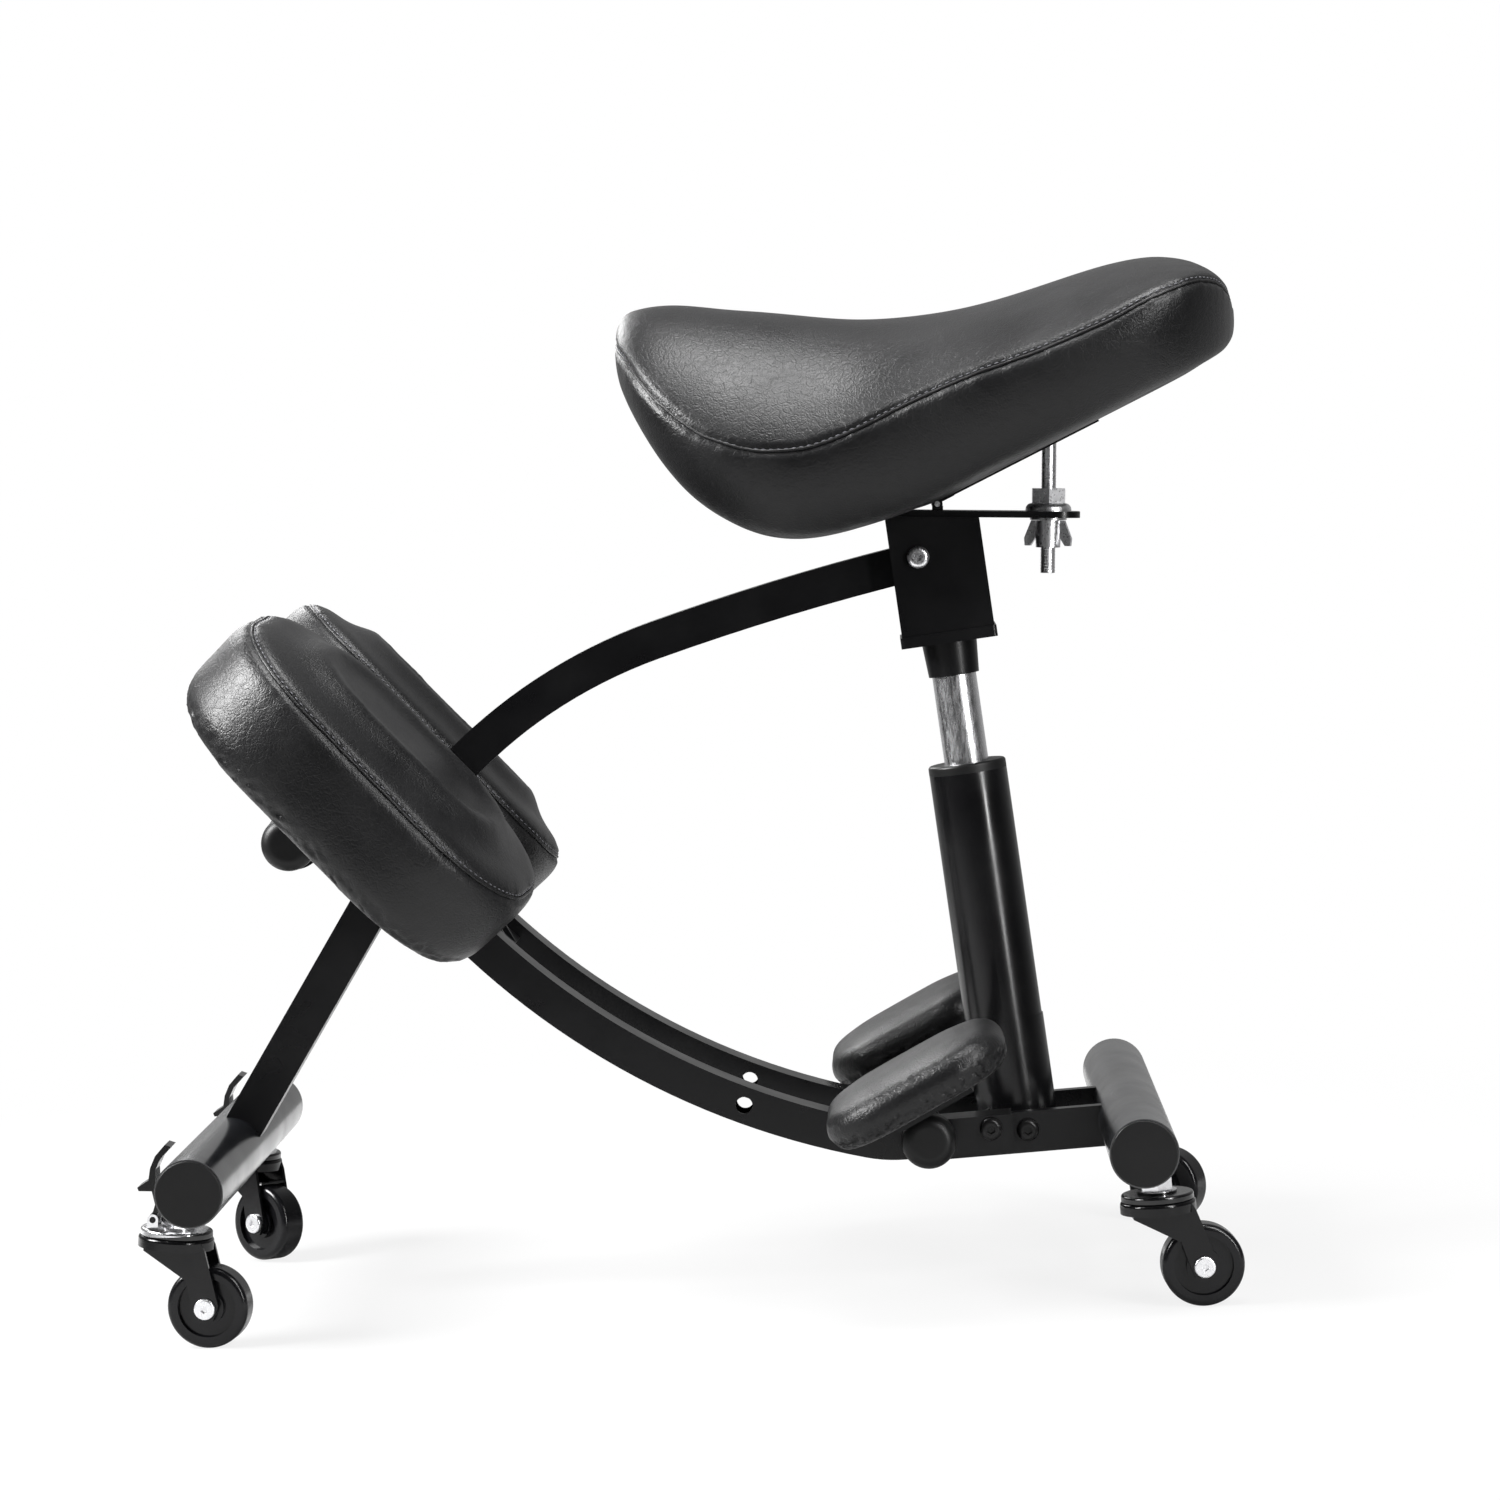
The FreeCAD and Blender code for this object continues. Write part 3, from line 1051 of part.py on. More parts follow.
report("column pivot", FOOT)
report("column line", column_point(1), "unit from the pivot")
report("arc front", ARC_FRONT)
report("arc rear", ARC_REAR)
report("seat hinge", HINGE)
report("knee tube", KNEE_TUBE)
report("ankle rod", ANKLE_ROD)
report("lever", LEVER_POINT, "x %.3f" % LEVER_FULCRUM_X)
report("spare hole", (SPARE_HOLE_Y, rail_height(SPARE_HOLE_Y)))
for name in NAMES:
    probe = Part.makeLine(V(0, -TRAIL, 0), V(0, -TRAIL, 10))
    line = on_caster(probe, name)
    hub = on_caster(Part.makeLine(V(0, 0, 0), V(10, 0, 0)), name)
    brake_y, brake_z = BRAKE_PIVOT[0] - TRAIL, BRAKE_PIVOT[1] + BRAKE_RISE
    brake = on_caster(Part.makeLine(V(0, brake_y, brake_z), V(10, brake_y, brake_z)), name, False)
    for label, edge in (("stem", line), ("axle", hub), ("brake", brake)):
        a, b = edge.Vertexes[0].Point, edge.Vertexes[1].Point
        d = (b - a).normalize()
        print("%s %s at (%.3f %.3f %.3f) along (%.5f %.5f %.5f)" % (name, label, a.x, a.y, a.z, d.x, d.y, d.z))
print("extents", extents)
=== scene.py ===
# %% [markdown]
# # A kneeling chair, dressed for a picture
# The chair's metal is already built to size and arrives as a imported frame. This lesson gives it
# a camera, light and finishes, and makes what a machinist's model leaves plain: the puffed
# leather pads with their seams and stitches, and the thread of the tilt rod.

# %% Load the frame
import json
import math
import bmesh
import bpy
import numpy as np
from mathutils import Matrix, Vector, noise
from mathutils.bvhtree import BVHTree
from mathutils.kdtree import KDTree


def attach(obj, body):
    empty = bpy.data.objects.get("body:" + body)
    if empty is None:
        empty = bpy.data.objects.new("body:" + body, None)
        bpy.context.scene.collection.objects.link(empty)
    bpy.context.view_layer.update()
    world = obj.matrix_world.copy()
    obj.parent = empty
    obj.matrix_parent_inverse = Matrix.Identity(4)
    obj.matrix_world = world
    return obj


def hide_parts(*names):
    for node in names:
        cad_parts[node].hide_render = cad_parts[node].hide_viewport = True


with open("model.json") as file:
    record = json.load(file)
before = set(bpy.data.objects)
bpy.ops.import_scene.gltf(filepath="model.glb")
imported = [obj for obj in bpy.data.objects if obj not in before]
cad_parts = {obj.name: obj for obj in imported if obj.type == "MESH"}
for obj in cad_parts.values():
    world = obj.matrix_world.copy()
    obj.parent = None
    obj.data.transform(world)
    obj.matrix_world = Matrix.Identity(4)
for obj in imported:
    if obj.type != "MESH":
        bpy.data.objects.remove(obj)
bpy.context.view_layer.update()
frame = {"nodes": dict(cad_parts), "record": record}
MM = 0.001
scene = bpy.context.scene

# %% [markdown]
# The camera stands level with the seat, a little over two and a half metres to the side, and
# looks slightly down. Its three axes are worked out from a heading, a dip and a tilt, because a
# matrix built from them is exact, while a target and a tracking constraint would hide the tilt.

# %% Camera
CAMERA_PLACE = Vector((2.7868, 0.13227, 0.52375))
CAMERA_HEADING = 0.0349043
CAMERA_DIP = -0.0665263
CAMERA_TILT = -0.0479375
PHOTO_SIDE = 1500
FOCAL_PIXELS = 4397.4
SENSOR = 36.0

look = Vector((-math.cos(CAMERA_DIP) * math.cos(CAMERA_HEADING),
               -math.cos(CAMERA_DIP) * math.sin(CAMERA_HEADING), math.sin(CAMERA_DIP)))
level = look.cross(Vector((0, 0, 1))).normalized()
upright = level.cross(look)
right = level * math.cos(CAMERA_TILT) + upright * math.sin(CAMERA_TILT)
up = upright * math.cos(CAMERA_TILT) - level * math.sin(CAMERA_TILT)
camera = bpy.data.objects.new("camera", bpy.data.cameras.new("camera"))
camera.data.sensor_width = SENSOR
camera.data.lens = FOCAL_PIXELS / PHOTO_SIDE * SENSOR
camera.data.clip_end = 100
camera.matrix_world = Matrix((right, up, -look)).transposed().to_4x4()
camera.matrix_world.translation = CAMERA_PLACE
scene.collection.objects.link(camera)
scene.camera = camera
print("lens %.1f mm" % camera.data.lens)

# %% [markdown]
# Every finish is a small tree of shader nodes. One helper adds a node, sets it and links it, and
# another turns the colours, written as a painter would read them, into the numbers that light uses.

# %% Helpers for finishes
def linear(text):
    """Linear colour from six hex digits of sRGB."""
    out = []
    for i in (0, 2, 4):
        c = int(text[i:i + 2], 16) / 255
        out.append(c / 12.92 if c <= 0.04045 else ((c + 0.055) / 1.055) ** 2.4)
    return (*out, 1.0)


def add(tree, kind, inputs=None, **settings):
    """Adds a node; an input is a number, a colour or another node's output."""
    node = tree.nodes.new(kind)
    for name, value in settings.items():
        setattr(node, name, value)
    for name, value in (inputs or {}).items():
        if isinstance(value, bpy.types.NodeSocket):
            tree.links.new(value, node.inputs[name])
        else:
            node.inputs[name].default_value = value
    return node


def blank(name):
    """A new material's empty tree, with its Object coordinates."""
    material = bpy.data.materials.new(name)
    material.use_nodes = True
    material.node_tree.nodes.clear()
    tree = material.node_tree
    return material, tree, add(tree, "ShaderNodeTexCoord").outputs["Object"]


def per_mm(size):
    """Texture scale that gives a pattern of this size in millimetres."""
    return 1.0 / (size * MM)


# %% [markdown]
# The studio is a white sweep in a dim room. The camera sees plain white behind the chair. What
# the chair itself mirrors is pale behind it and nearly black on the camera's side, so black
# paint that faces the camera stays black. Softboxes draw the highlights: one to the left and
# above for the knee pads, a tall strip to the right for the column, one above it for the rear
# of the saddle, one behind for the rims, and a large one overhead.

# %% Studio
BEHIND_STRENGTH = 0.42
ROOM_STRENGTH = 0.04
world = bpy.data.worlds.new("studio")
scene.world = world
world.use_nodes = True
sky = world.node_tree
sky.nodes.clear()
path = add(sky, "ShaderNodeLightPath")
direction = add(sky, "ShaderNodeSeparateXYZ", {0: add(sky, "ShaderNodeTexCoord").outputs["Generated"]})
dim_room = add(sky, "ShaderNodeMapRange", {
    0: direction.outputs["X"], 1: -0.9, 2: 0.1, 3: BEHIND_STRENGTH, 4: ROOM_STRENGTH})
seen = add(sky, "ShaderNodeMix", {0: path.outputs["Is Camera Ray"], 2: dim_room.outputs[0], 3: 1.0})
sweep = add(sky, "ShaderNodeBackground", {"Color": (1, 1, 1, 1), "Strength": seen.outputs[0]})
add(sky, "ShaderNodeOutputWorld", {"Surface": sweep.outputs[0]})


def softbox(name, place, target, width, height, glow):
    """A rectangular lamp whose face has this brightness, whatever its size."""
    light = bpy.data.lights.new(name, "AREA")
    light.shape = "RECTANGLE"
    light.size = width
    light.size_y = height
    light.energy = glow * math.pi * width * height
    lamp = bpy.data.objects.new(name, light)
    lamp.location = place
    lamp.rotation_euler = (Vector(place) - Vector(target)).to_track_quat("Z", "Y").to_euler()
    scene.collection.objects.link(lamp)
    return lamp


softbox("left_softbox", (0.45, -1.9, 1.6), (0, -0.2, 0.45), 0.9, 1.1, 58)
softbox("right_strip", (1.55, 1.45, 0.75), (0, 0.2, 0.45), 0.14, 1.3, 55)
softbox("upper_right_softbox", (1.0, 1.1, 1.5), (0, 0.2, 0.5), 0.5, 0.5, 26)
softbox("rim_softbox", (-1.6, -0.9, 1.3), (0, 0, 0.45), 0.8, 0.7, 10)
softbox("top_softbox", (0.1, 0.15, 2.2), (0, 0.05, 0.3), 0.9, 0.9, 22)

# %% [markdown]
# The floor is a round sheet of white paper. For the camera most of its colour is its own, all
# of it at the rim, so it vanishes into the sweep. The rest is lit, so a soft shadow is left
# under the casters.

# %% Floor
FLOOR_RADIUS = 1.1
SHADOW_RADIUS = 0.5
OWN_WHITE = 0.84
bm = bmesh.new()
bmesh.ops.create_circle(bm, cap_ends=True, segments=96, radius=FLOOR_RADIUS)
floor = bpy.data.objects.new("floor", bpy.data.meshes.new("floor"))
bm.to_mesh(floor.data)
bm.free()
scene.collection.objects.link(floor)
floor_white, tree, place = blank("white_sweep_paper")
paper = add(tree, "ShaderNodeBsdfDiffuse", {"Color": linear("a8a8a8")})
own = add(tree, "ShaderNodeEmission", {"Color": (1, 1, 1, 1), "Strength": 1.0})
path = add(tree, "ShaderNodeLightPath")
reach = add(tree, "ShaderNodeVectorMath", {0: place}, operation="LENGTH")
own_share = add(tree, "ShaderNodeMapRange", {
    0: reach.outputs["Value"], 1: SHADOW_RADIUS, 2: 0.97 * FLOOR_RADIUS, 3: OWN_WHITE, 4: 1.0})
share = add(tree, "ShaderNodeMath", {0: path.outputs["Is Camera Ray"], 1: own_share.outputs[0]},
            operation="MULTIPLY")
both = add(tree, "ShaderNodeMixShader", {0: share.outputs[0], 1: paper.outputs[0], 2: own.outputs[0]})
add(tree, "ShaderNodeOutputMaterial", {"Surface": both.outputs[0]})
floor.data.materials.append(floor_white)

# %% [markdown]
# The pads are covered in black upholstery leather with a printed pebble grain. The eye gets
# three things from it: pebbles about a millimetre wide, drawn here at 2.1 mm so that they show,
# fine creases every 7 mm or so where the hide was stretched, and a satin gloss that breaks up
# with the pebbles. Voronoi cells make the pebbles and noise makes the creases.

# %% Black upholstery leather
def leather(name, hide, gloss, pebble=2.1, crease=7.0):
    material, tree, place = blank(name)
    warp = add(tree, "ShaderNodeTexNoise", {"Vector": place, "Scale": per_mm(6), "Detail": 4.0})
    bent = add(tree, "ShaderNodeMix", {"Factor": 0.006, "A": place, "B": warp.outputs["Color"]},
               data_type="VECTOR")
    cells = add(tree, "ShaderNodeTexVoronoi", {"Vector": bent.outputs[1], "Scale": per_mm(pebble)},
                feature="DISTANCE_TO_EDGE")
    pebbles = add(tree, "ShaderNodeMapRange", {0: cells.outputs["Distance"], 1: 0.0, 2: 0.3})
    lines = add(tree, "ShaderNodeTexVoronoi", {"Vector": bent.outputs[1], "Scale": per_mm(crease)},
                feature="DISTANCE_TO_EDGE")
    creases = add(tree, "ShaderNodeMapRange", {0: lines.outputs["Distance"], 1: 0.0, 2: 0.08})
    cloudy = add(tree, "ShaderNodeTexNoise", {"Vector": place, "Scale": per_mm(45), "Detail": 4.0})
    height = add(tree, "ShaderNodeMath", {0: pebbles.outputs[0], 1: creases.outputs[0]}, operation="ADD")
    bump = add(tree, "ShaderNodeBump", {
        "Height": height.outputs[0], "Strength": 0.3, "Distance": 0.3 * MM})
    patches = add(tree, "ShaderNodeMapRange", {0: cloudy.outputs[0], 1: 0.35, 2: 0.65})
    tone = add(tree, "ShaderNodeMix", {
        "Factor": patches.outputs[0], "A": linear(hide[0]), "B": linear(hide[1])}, data_type="RGBA")
    rough = add(tree, "ShaderNodeMapRange", {
        0: cloudy.outputs[0], 1: 0.3, 2: 0.7, 3: gloss - 0.05, 4: gloss + 0.07})
    skin = add(tree, "ShaderNodeBsdfPrincipled", {
        "Base Color": tone.outputs[2], "Roughness": rough.outputs[0], "IOR": 1.5,
        "Specular IOR Level": 0.3, "Normal": bump.outputs[0]})
    add(tree, "ShaderNodeOutputMaterial", {"Surface": skin.outputs[0]})
    return material


seat_hide = leather("black_pebbled_leather", ("080809", "0d0d0e"), 0.40)

# %% [markdown]
# The frame is square and round steel tube with a baked powder coat. Up close such a coat has a
# faint orange peel a few millimetres wide, and rubs to a slightly duller black along its runs.
# The column and the casters wear a glossier black. Only the gloss and the peel differ, so one
# recipe serves all the blacks, moulded plastic included, whose peel is a fine spark texture.

# %% Black coats and mouldings
def black_coat(name, colour, dull, gloss, peel, depth, mirror=0.25):
    material, tree, place = blank(name)
    ripple = add(tree, "ShaderNodeTexNoise", {"Vector": place, "Scale": per_mm(peel), "Detail": 2.0})
    cloud = add(tree, "ShaderNodeTexNoise", {"Vector": place, "Scale": per_mm(35), "Detail": 5.0})
    bump = add(tree, "ShaderNodeBump", {
        "Height": ripple.outputs[0], "Strength": 0.5, "Distance": depth * MM})
    tone = add(tree, "ShaderNodeMix", {
        "Factor": cloud.outputs[0], "A": linear(colour), "B": linear(dull)}, data_type="RGBA")
    rough = add(tree, "ShaderNodeMapRange", {
        0: cloud.outputs[0], 1: 0.3, 2: 0.7, 3: gloss - 0.04, 4: gloss + 0.05})
    coat = add(tree, "ShaderNodeBsdfPrincipled", {
        "Base Color": tone.outputs[2], "Roughness": rough.outputs[0], "IOR": 1.5,
        "Specular IOR Level": mirror, "Normal": bump.outputs[0]})
    add(tree, "ShaderNodeOutputMaterial", {"Surface": coat.outputs[0]})
    return material


satin_powder = black_coat("satin_black_powder_coat", "060607", "0b0b0c", 0.30, 2.5, 0.03)
bar_lacquer = black_coat("glossy_black_bar_lacquer", "111214", "191a1d", 0.22, 3.0, 0.02, 1.0)
column_gloss = black_coat("glossy_black_column_paint", "060607", "0b0b0c", 0.22, 3.0, 0.02, 0.35)
caster_gloss = black_coat("stamped_black_enamel", "050506", "0a0a0b", 0.16, 3.5, 0.03)
wheel_gloss = black_coat("moulded_black_nylon", "070708", "0e0e10", 0.20, 4.0, 0.03)
moulded_black = black_coat("spark_textured_black_abs", "060606", "0b0b0c", 0.42, 0.9, 0.06)
bolt_black = black_coat("black_oxide_steel", "0c0c0d", "151414", 0.28, 1.2, 0.02)
thread_black = black_coat("waxed_black_thread", "4a4a4e", "58585c", 0.5, 0.6, 0.05)

# %% [markdown]
# Piston, rod, nuts and hinge are bright steel. Ground or plated steel is a mirror with fine
# lines, so it takes a metal shader with low roughness and a noise stretched along one axis.

# %% Bright plated steel
def bright_steel(name, colour, gloss, stretch):
    material, tree, place = blank(name)
    along = add(tree, "ShaderNodeMapping", {"Vector": place, "Scale": stretch})
    lines = add(tree, "ShaderNodeTexNoise", {
        "Vector": along.outputs[0], "Scale": per_mm(1.2), "Detail": 4.0})
    rough = add(tree, "ShaderNodeMapRange", {
        0: lines.outputs[0], 1: 0.3, 2: 0.7, 3: gloss - 0.05, 4: gloss + 0.08})
    bump = add(tree, "ShaderNodeBump", {
        "Height": lines.outputs[0], "Strength": 0.15, "Distance": 0.02 * MM})
    steel = add(tree, "ShaderNodeBsdfPrincipled", {
        "Base Color": linear(colour), "Metallic": 1.0, "Roughness": rough.outputs[0],
        "Normal": bump.outputs[0]})
    add(tree, "ShaderNodeOutputMaterial", {"Surface": steel.outputs[0]})
    return material


plated_steel = bright_steel("bright_zinc_plated_steel", "e2e2e4", 0.3, (1, 1, 1))
ground_steel = bright_steel("ground_chromed_piston", "e8e8ea", 0.24, (1, 1, 0.15))

# %% [markdown]
# The caster stems are bright steel down to the nut, and the round raceway plate below it is
# black enamel. They are one forging in the frame, so one material changes finish at a height.

# %% Stem in two finishes
RACEWAY_TOP = 0.0708
two_finish, tree, place = blank("plated_stem_on_black_raceway")
height = add(tree, "ShaderNodeSeparateXYZ", {0: place}).outputs["Z"]
above = add(tree, "ShaderNodeMath", {0: height, 1: RACEWAY_TOP}, operation="GREATER_THAN").outputs[0]
tone = add(tree, "ShaderNodeMix", {"Factor": above, "A": linear("070708"), "B": linear("d6d6d8")},
           data_type="RGBA")
grit = add(tree, "ShaderNodeTexNoise", {"Vector": place, "Scale": per_mm(2), "Detail": 3.0})
rough = add(tree, "ShaderNodeMapRange", {0: grit.outputs[0], 3: 0.14, 4: 0.28})
stem = add(tree, "ShaderNodeBsdfPrincipled", {
    "Base Color": tone.outputs[2], "Metallic": above, "Roughness": rough.outputs[0]})
add(tree, "ShaderNodeOutputMaterial", {"Surface": stem.outputs[0]})

# %% [markdown]
# The boards under the pads are birch plywood. Where the covers leave them bare they show thin
# growth lines, which a stretched noise draws along the sheet.

# %% Birch plywood
plywood, tree, place = blank("birch_plywood")
along = add(tree, "ShaderNodeMapping", {"Vector": place, "Scale": (1.0, 0.12, 0.12)})
grain = add(tree, "ShaderNodeTexNoise", {"Vector": along.outputs[0], "Scale": per_mm(3), "Detail": 6.0})
tone = add(tree, "ShaderNodeMix", {
    "Factor": grain.outputs[0], "A": linear("8c6a43"), "B": linear("b08d60")}, data_type="RGBA")
veneer = add(tree, "ShaderNodeBsdfPrincipled", {"Base Color": tone.outputs[2], "Roughness": 0.6})
add(tree, "ShaderNodeOutputMaterial", {"Surface": veneer.outputs[0]})

# %% Finish of each slot and node
SLOT_FINISH = {"grey_gloss": bar_lacquer, "black_steel": satin_powder, "black_gloss": column_gloss,
               "black_bolts": bolt_black, "bright_steel": plated_steel, "black_plastic": moulded_black,
               "caster_black": caster_gloss, "wheel_black": wheel_gloss, "plywood": plywood,
               "black_leather": seat_hide}
for part in frame["record"]["subparts"]:
    node = frame["nodes"][part["node"]]
    node.data.materials.clear()
    node.data.materials.append(SLOT_FINISH[part["material_slot"]])
frame["nodes"]["gas_piston"].data.materials[0] = ground_steel
frame["nodes"]["caster_stems"].data.materials[0] = two_finish

# %% [markdown]
# Each pad is foam on a board under a tight cover, so it is a closed, crowned form. The frame's
# plain solid gives its size. It is joined with its board, turned into an even skin, and then
# blown up a little by a cloth simulation with air pressure inside, while the skin on the
# board's underside is held. That gives the slack swell that a lofted shape lacks.

# %% Even skin over a pad and its board
def merged_copy(nodes):
    """Bmesh of some of the frame's nodes, with their loose triangles joined."""
    bm = bmesh.new()
    for name in nodes:
        bm.from_mesh(frame["nodes"][name].data)
    bmesh.ops.remove_doubles(bm, verts=bm.verts, dist=0.02 * MM)
    return bm


def make_object(name, bm, finish, smooth=True):
    mesh = bpy.data.meshes.new(name)
    bm.to_mesh(mesh)
    bm.free()
    piece = bpy.data.objects.new(name, mesh)
    scene.collection.objects.link(piece)
    mesh.materials.clear()
    mesh.materials.append(finish)
    for face in mesh.polygons:
        face.use_smooth = smooth
    return piece


def take_modifiers(piece):
    """Applies what the modifiers make, so that none is left live."""
    graph = bpy.context.evaluated_depsgraph_get()
    mesh = bpy.data.meshes.new_from_object(piece.evaluated_get(graph))
    piece.modifiers.clear()
    piece.data = mesh
    for face in mesh.polygons:
        face.use_smooth = True


def even_skin(name, bm, voxel):
    """A closed skin of even small faces over the bmesh."""
    skin = make_object(name, bm, seat_hide)
    remesh = skin.modifiers.new("even", "REMESH")
    remesh.mode = "VOXEL"
    remesh.voxel_size = voxel * MM
    take_modifiers(skin)
    return skin


# %% Air pressure
SIM_FRAMES = 20
AIR_PRESSURE = 4.0
HELD_BAND = 4 * MM
EVEN_ROUNDS = 8
GIVE_ROUNDS = 60


def averaged(values, edges, rounds):
    """Each point's value drawn towards its neighbours' mean, round after round."""
    count = np.bincount(edges.ravel(), minlength=len(values))[:, None]
    for _ in range(rounds):
        total = np.zeros_like(values)
        np.add.at(total, edges[:, 0], values[edges[:, 1]])
        np.add.at(total, edges[:, 1], values[edges[:, 0]])
        values = 0.5 * values + 0.5 * total / np.maximum(count, 1)
    return values


def points_of(mesh):
    flat = np.empty(len(mesh.vertices) * 3)
    mesh.vertices.foreach_get("co", flat)
    return flat.reshape(-1, 3)


def edges_of(mesh):
    flat = np.empty(len(mesh.edges) * 2, dtype=np.int64)
    mesh.edges.foreach_get("vertices", flat)
    return flat.reshape(-1, 2)


def grown(mesh, points, distance):
    """Points moved outwards along the mesh's normals."""
    mesh.vertices.foreach_set("co", points.ravel())
    mesh.update()
    normals = np.array([v.normal for v in mesh.vertices])
    return points + normals * distance


def puff(skin, base, swell, cap):
    """Evens the skin, moves it out by swell and blows it up by no more than cap, both in mm.

    base says how far a point lies above the underside, where the cloth is held. What the
    simulation moved is spread over the neighbours, so the swell stays and its creases go.
    """
    mesh = skin.data
    even = averaged(points_of(mesh), edges_of(mesh), EVEN_ROUNDS)
    even = grown(mesh, even, swell * MM)
    mesh.vertices.foreach_set("co", even.ravel())
    mesh.update()
    held = [v.index for v in mesh.vertices if base(v.co) < HELD_BAND]
    group = skin.vertex_groups.new(name="held")
    group.add(held, 1.0, "REPLACE")
    cloth = skin.modifiers.new("air", "CLOTH")
    cloth.settings.vertex_group_mass = "held"
    cloth.settings.use_pressure = True
    cloth.settings.uniform_pressure_force = AIR_PRESSURE
    cloth.settings.effector_weights.gravity = 0
    cloth.settings.quality = 5
    cloth.point_cache.frame_end = SIM_FRAMES
    for step in range(1, SIM_FRAMES + 1):
        scene.frame_set(step)
    take_modifiers(skin)
    skin.vertex_groups.clear()
    scene.frame_set(1)
    shift = averaged(points_of(skin.data) - even, edges_of(skin.data), GIVE_ROUNDS)
    longest = np.linalg.norm(shift, axis=1).max() / MM
    skin.data.vertices.foreach_set("co", (even + shift * min(1.0, cap / longest)).ravel())
    skin.data.update()
    print(skin.name, len(even), "points moved %.1f mm, kept %.1f" % (longest, min(longest, cap)))


def refine(skin):
    """One subdivision, applied."""
    finer = skin.modifiers.new("finer", "SUBSURF")
    finer.levels = 1
    finer.render_levels = 1
    take_modifiers(skin)


# %% [markdown]
# A sewn seam is a shallow valley where two panels are pulled together. Beside it runs a row of
# top stitches. The seam's line is known from the pad's outline; each of its points is moved
# onto the finished skin, the skin near it is drawn in, a thin welt is laid in the valley, and
# small stitches are set along the skin a few millimetres inside the line.

# %% Seams and stitches
def even_steps(points, step):
    """Points at even distances along a closed line."""
    ring = points + points[:1]
    total = sum((b - a).length for a, b in zip(ring, ring[1:]))
    count = max(8, round(total / (step * MM)))
    gap, out, run = total / count, [], 0.0
    for a, b in zip(ring, ring[1:]):
        length = (b - a).length
        while run < length and len(out) < count:
            out.append(a.lerp(b, run / length))
            run += gap
        run -= length
    return out


def skin_tree(skin):
    bm = bmesh.new()
    bm.from_mesh(skin.data)
    tree = BVHTree.FromBMesh(bm)
    bm.free()
    return tree


def draw_in(skin, line, depth, width):
    """Pulls the skin down along a line, most on the line itself."""
    tree = KDTree(len(line))
    for i, point in enumerate(line):
        tree.insert(point, i)
    tree.balance()
    normals = [v.normal.copy() for v in skin.data.vertices]
    for v, n in zip(skin.data.vertices, normals):
        near = tree.find(v.co)[2] / (width * MM)
        if near < 1.0:
            v.co -= n * (depth * MM * (1 - near * near) ** 2)
    skin.data.update()


def laid(tree, points, rounds=8):
    """The closed line laid on the skin and evened out, so that it runs without waves."""
    line = [tree.find_nearest(p)[0] for p in points]
    for _ in range(rounds):
        count = len(line)
        line = [(line[i - 1] + line[i] * 2 + line[(i + 1) % count]) / 4 for i in range(count)]
        line = [tree.find_nearest(p)[0] for p in line]
    return line


def welt(name, line, radius, finish):
    """Thin closed tube along the line."""
    curve = bpy.data.curves.new(name, "CURVE")
    curve.dimensions = "3D"
    spline = curve.splines.new("POLY")
    spline.points.add(len(line) - 1)
    for point, place in zip(spline.points, line):
        point.co = (*place, 1.0)
    spline.use_cyclic_u = True
    curve.bevel_depth = radius * MM
    curve.bevel_resolution = 2
    holder = bpy.data.objects.new(name, curve)
    scene.collection.objects.link(holder)
    mesh = bpy.data.meshes.new_from_object(holder.evaluated_get(bpy.context.evaluated_depsgraph_get()))
    bpy.data.objects.remove(holder)
    piece = bpy.data.objects.new(name, mesh)
    mesh.materials.clear()
    mesh.materials.append(finish)
    for face in mesh.polygons:
        face.use_smooth = True
    scene.collection.objects.link(piece)
    return piece


def stitches(name, line, normals, length, thick):
    """A low rounded bead at every point of the line."""
    bm = bmesh.new()
    count = len(line)
    for i in range(count):
        ahead = (line[(i + 1) % count] - line[i - 1]).normalized()
        side = normals[i].cross(ahead).normalized()
        turn = Matrix((ahead, side, ahead.cross(side))).transposed().to_4x4()
        size = Matrix.Diagonal((length / 2 * MM, thick / 2 * MM, thick / 2 * MM, 1))
        bmesh.ops.create_uvsphere(bm, u_segments=6, v_segments=5, radius=1.0,
                                  matrix=Matrix.Translation(line[i]) @ turn @ size)
    return make_object(name, bm, thread_black)


def sew(skin, outline, inward, body, row=4.5, depth=1.8, step=4.6):
    """Seam and stitch row around a pad; inward points from a seam point towards the pad's middle."""
    line = laid(skin_tree(skin), even_steps(outline, 3.0))
    draw_in(skin, line, depth, 4.5)
    tree = skin_tree(skin)
    seam = []
    for point in laid(tree, line, 2):
        place, normal = tree.find_nearest(point)[:2]
        seam.append(place + normal * 0.4 * MM)
    made = [welt(skin.name + "_seam", seam, 0.95, seat_hide)]
    beads, normals = [], []
    for point in even_steps(laid(tree, [p + inward(p) * row * MM for p in line], 4), step):
        place, normal = tree.find_nearest(point)[:2]
        beads.append(place + normal * 0.1 * MM)
        normals.append(normal)
    made.append(stitches(skin.name + "_stitches", beads, normals, 3.0, 0.9))
    for piece in made:
        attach(piece, body)
    return made


# %% [markdown]
# The two knee pads are rounded oblongs on a slope. Their base plane and outline are the same
# sizes as the plain solids have, so that the seam lies on the cover's edge. Near the base the
# leather is gathered under the board, which leaves short pleats all round.

# %% Knee pads
def pad_frame(x, y, z, roll, slope):
    """Places a pad's own axes: Y along it, Z out of its face."""
    turn = Matrix.Rotation(math.radians(slope), 4, "X") @ Matrix.Rotation(math.radians(roll), 4, "Y")
    return Matrix.Translation(Vector((x, y, z)) * MM) @ turn


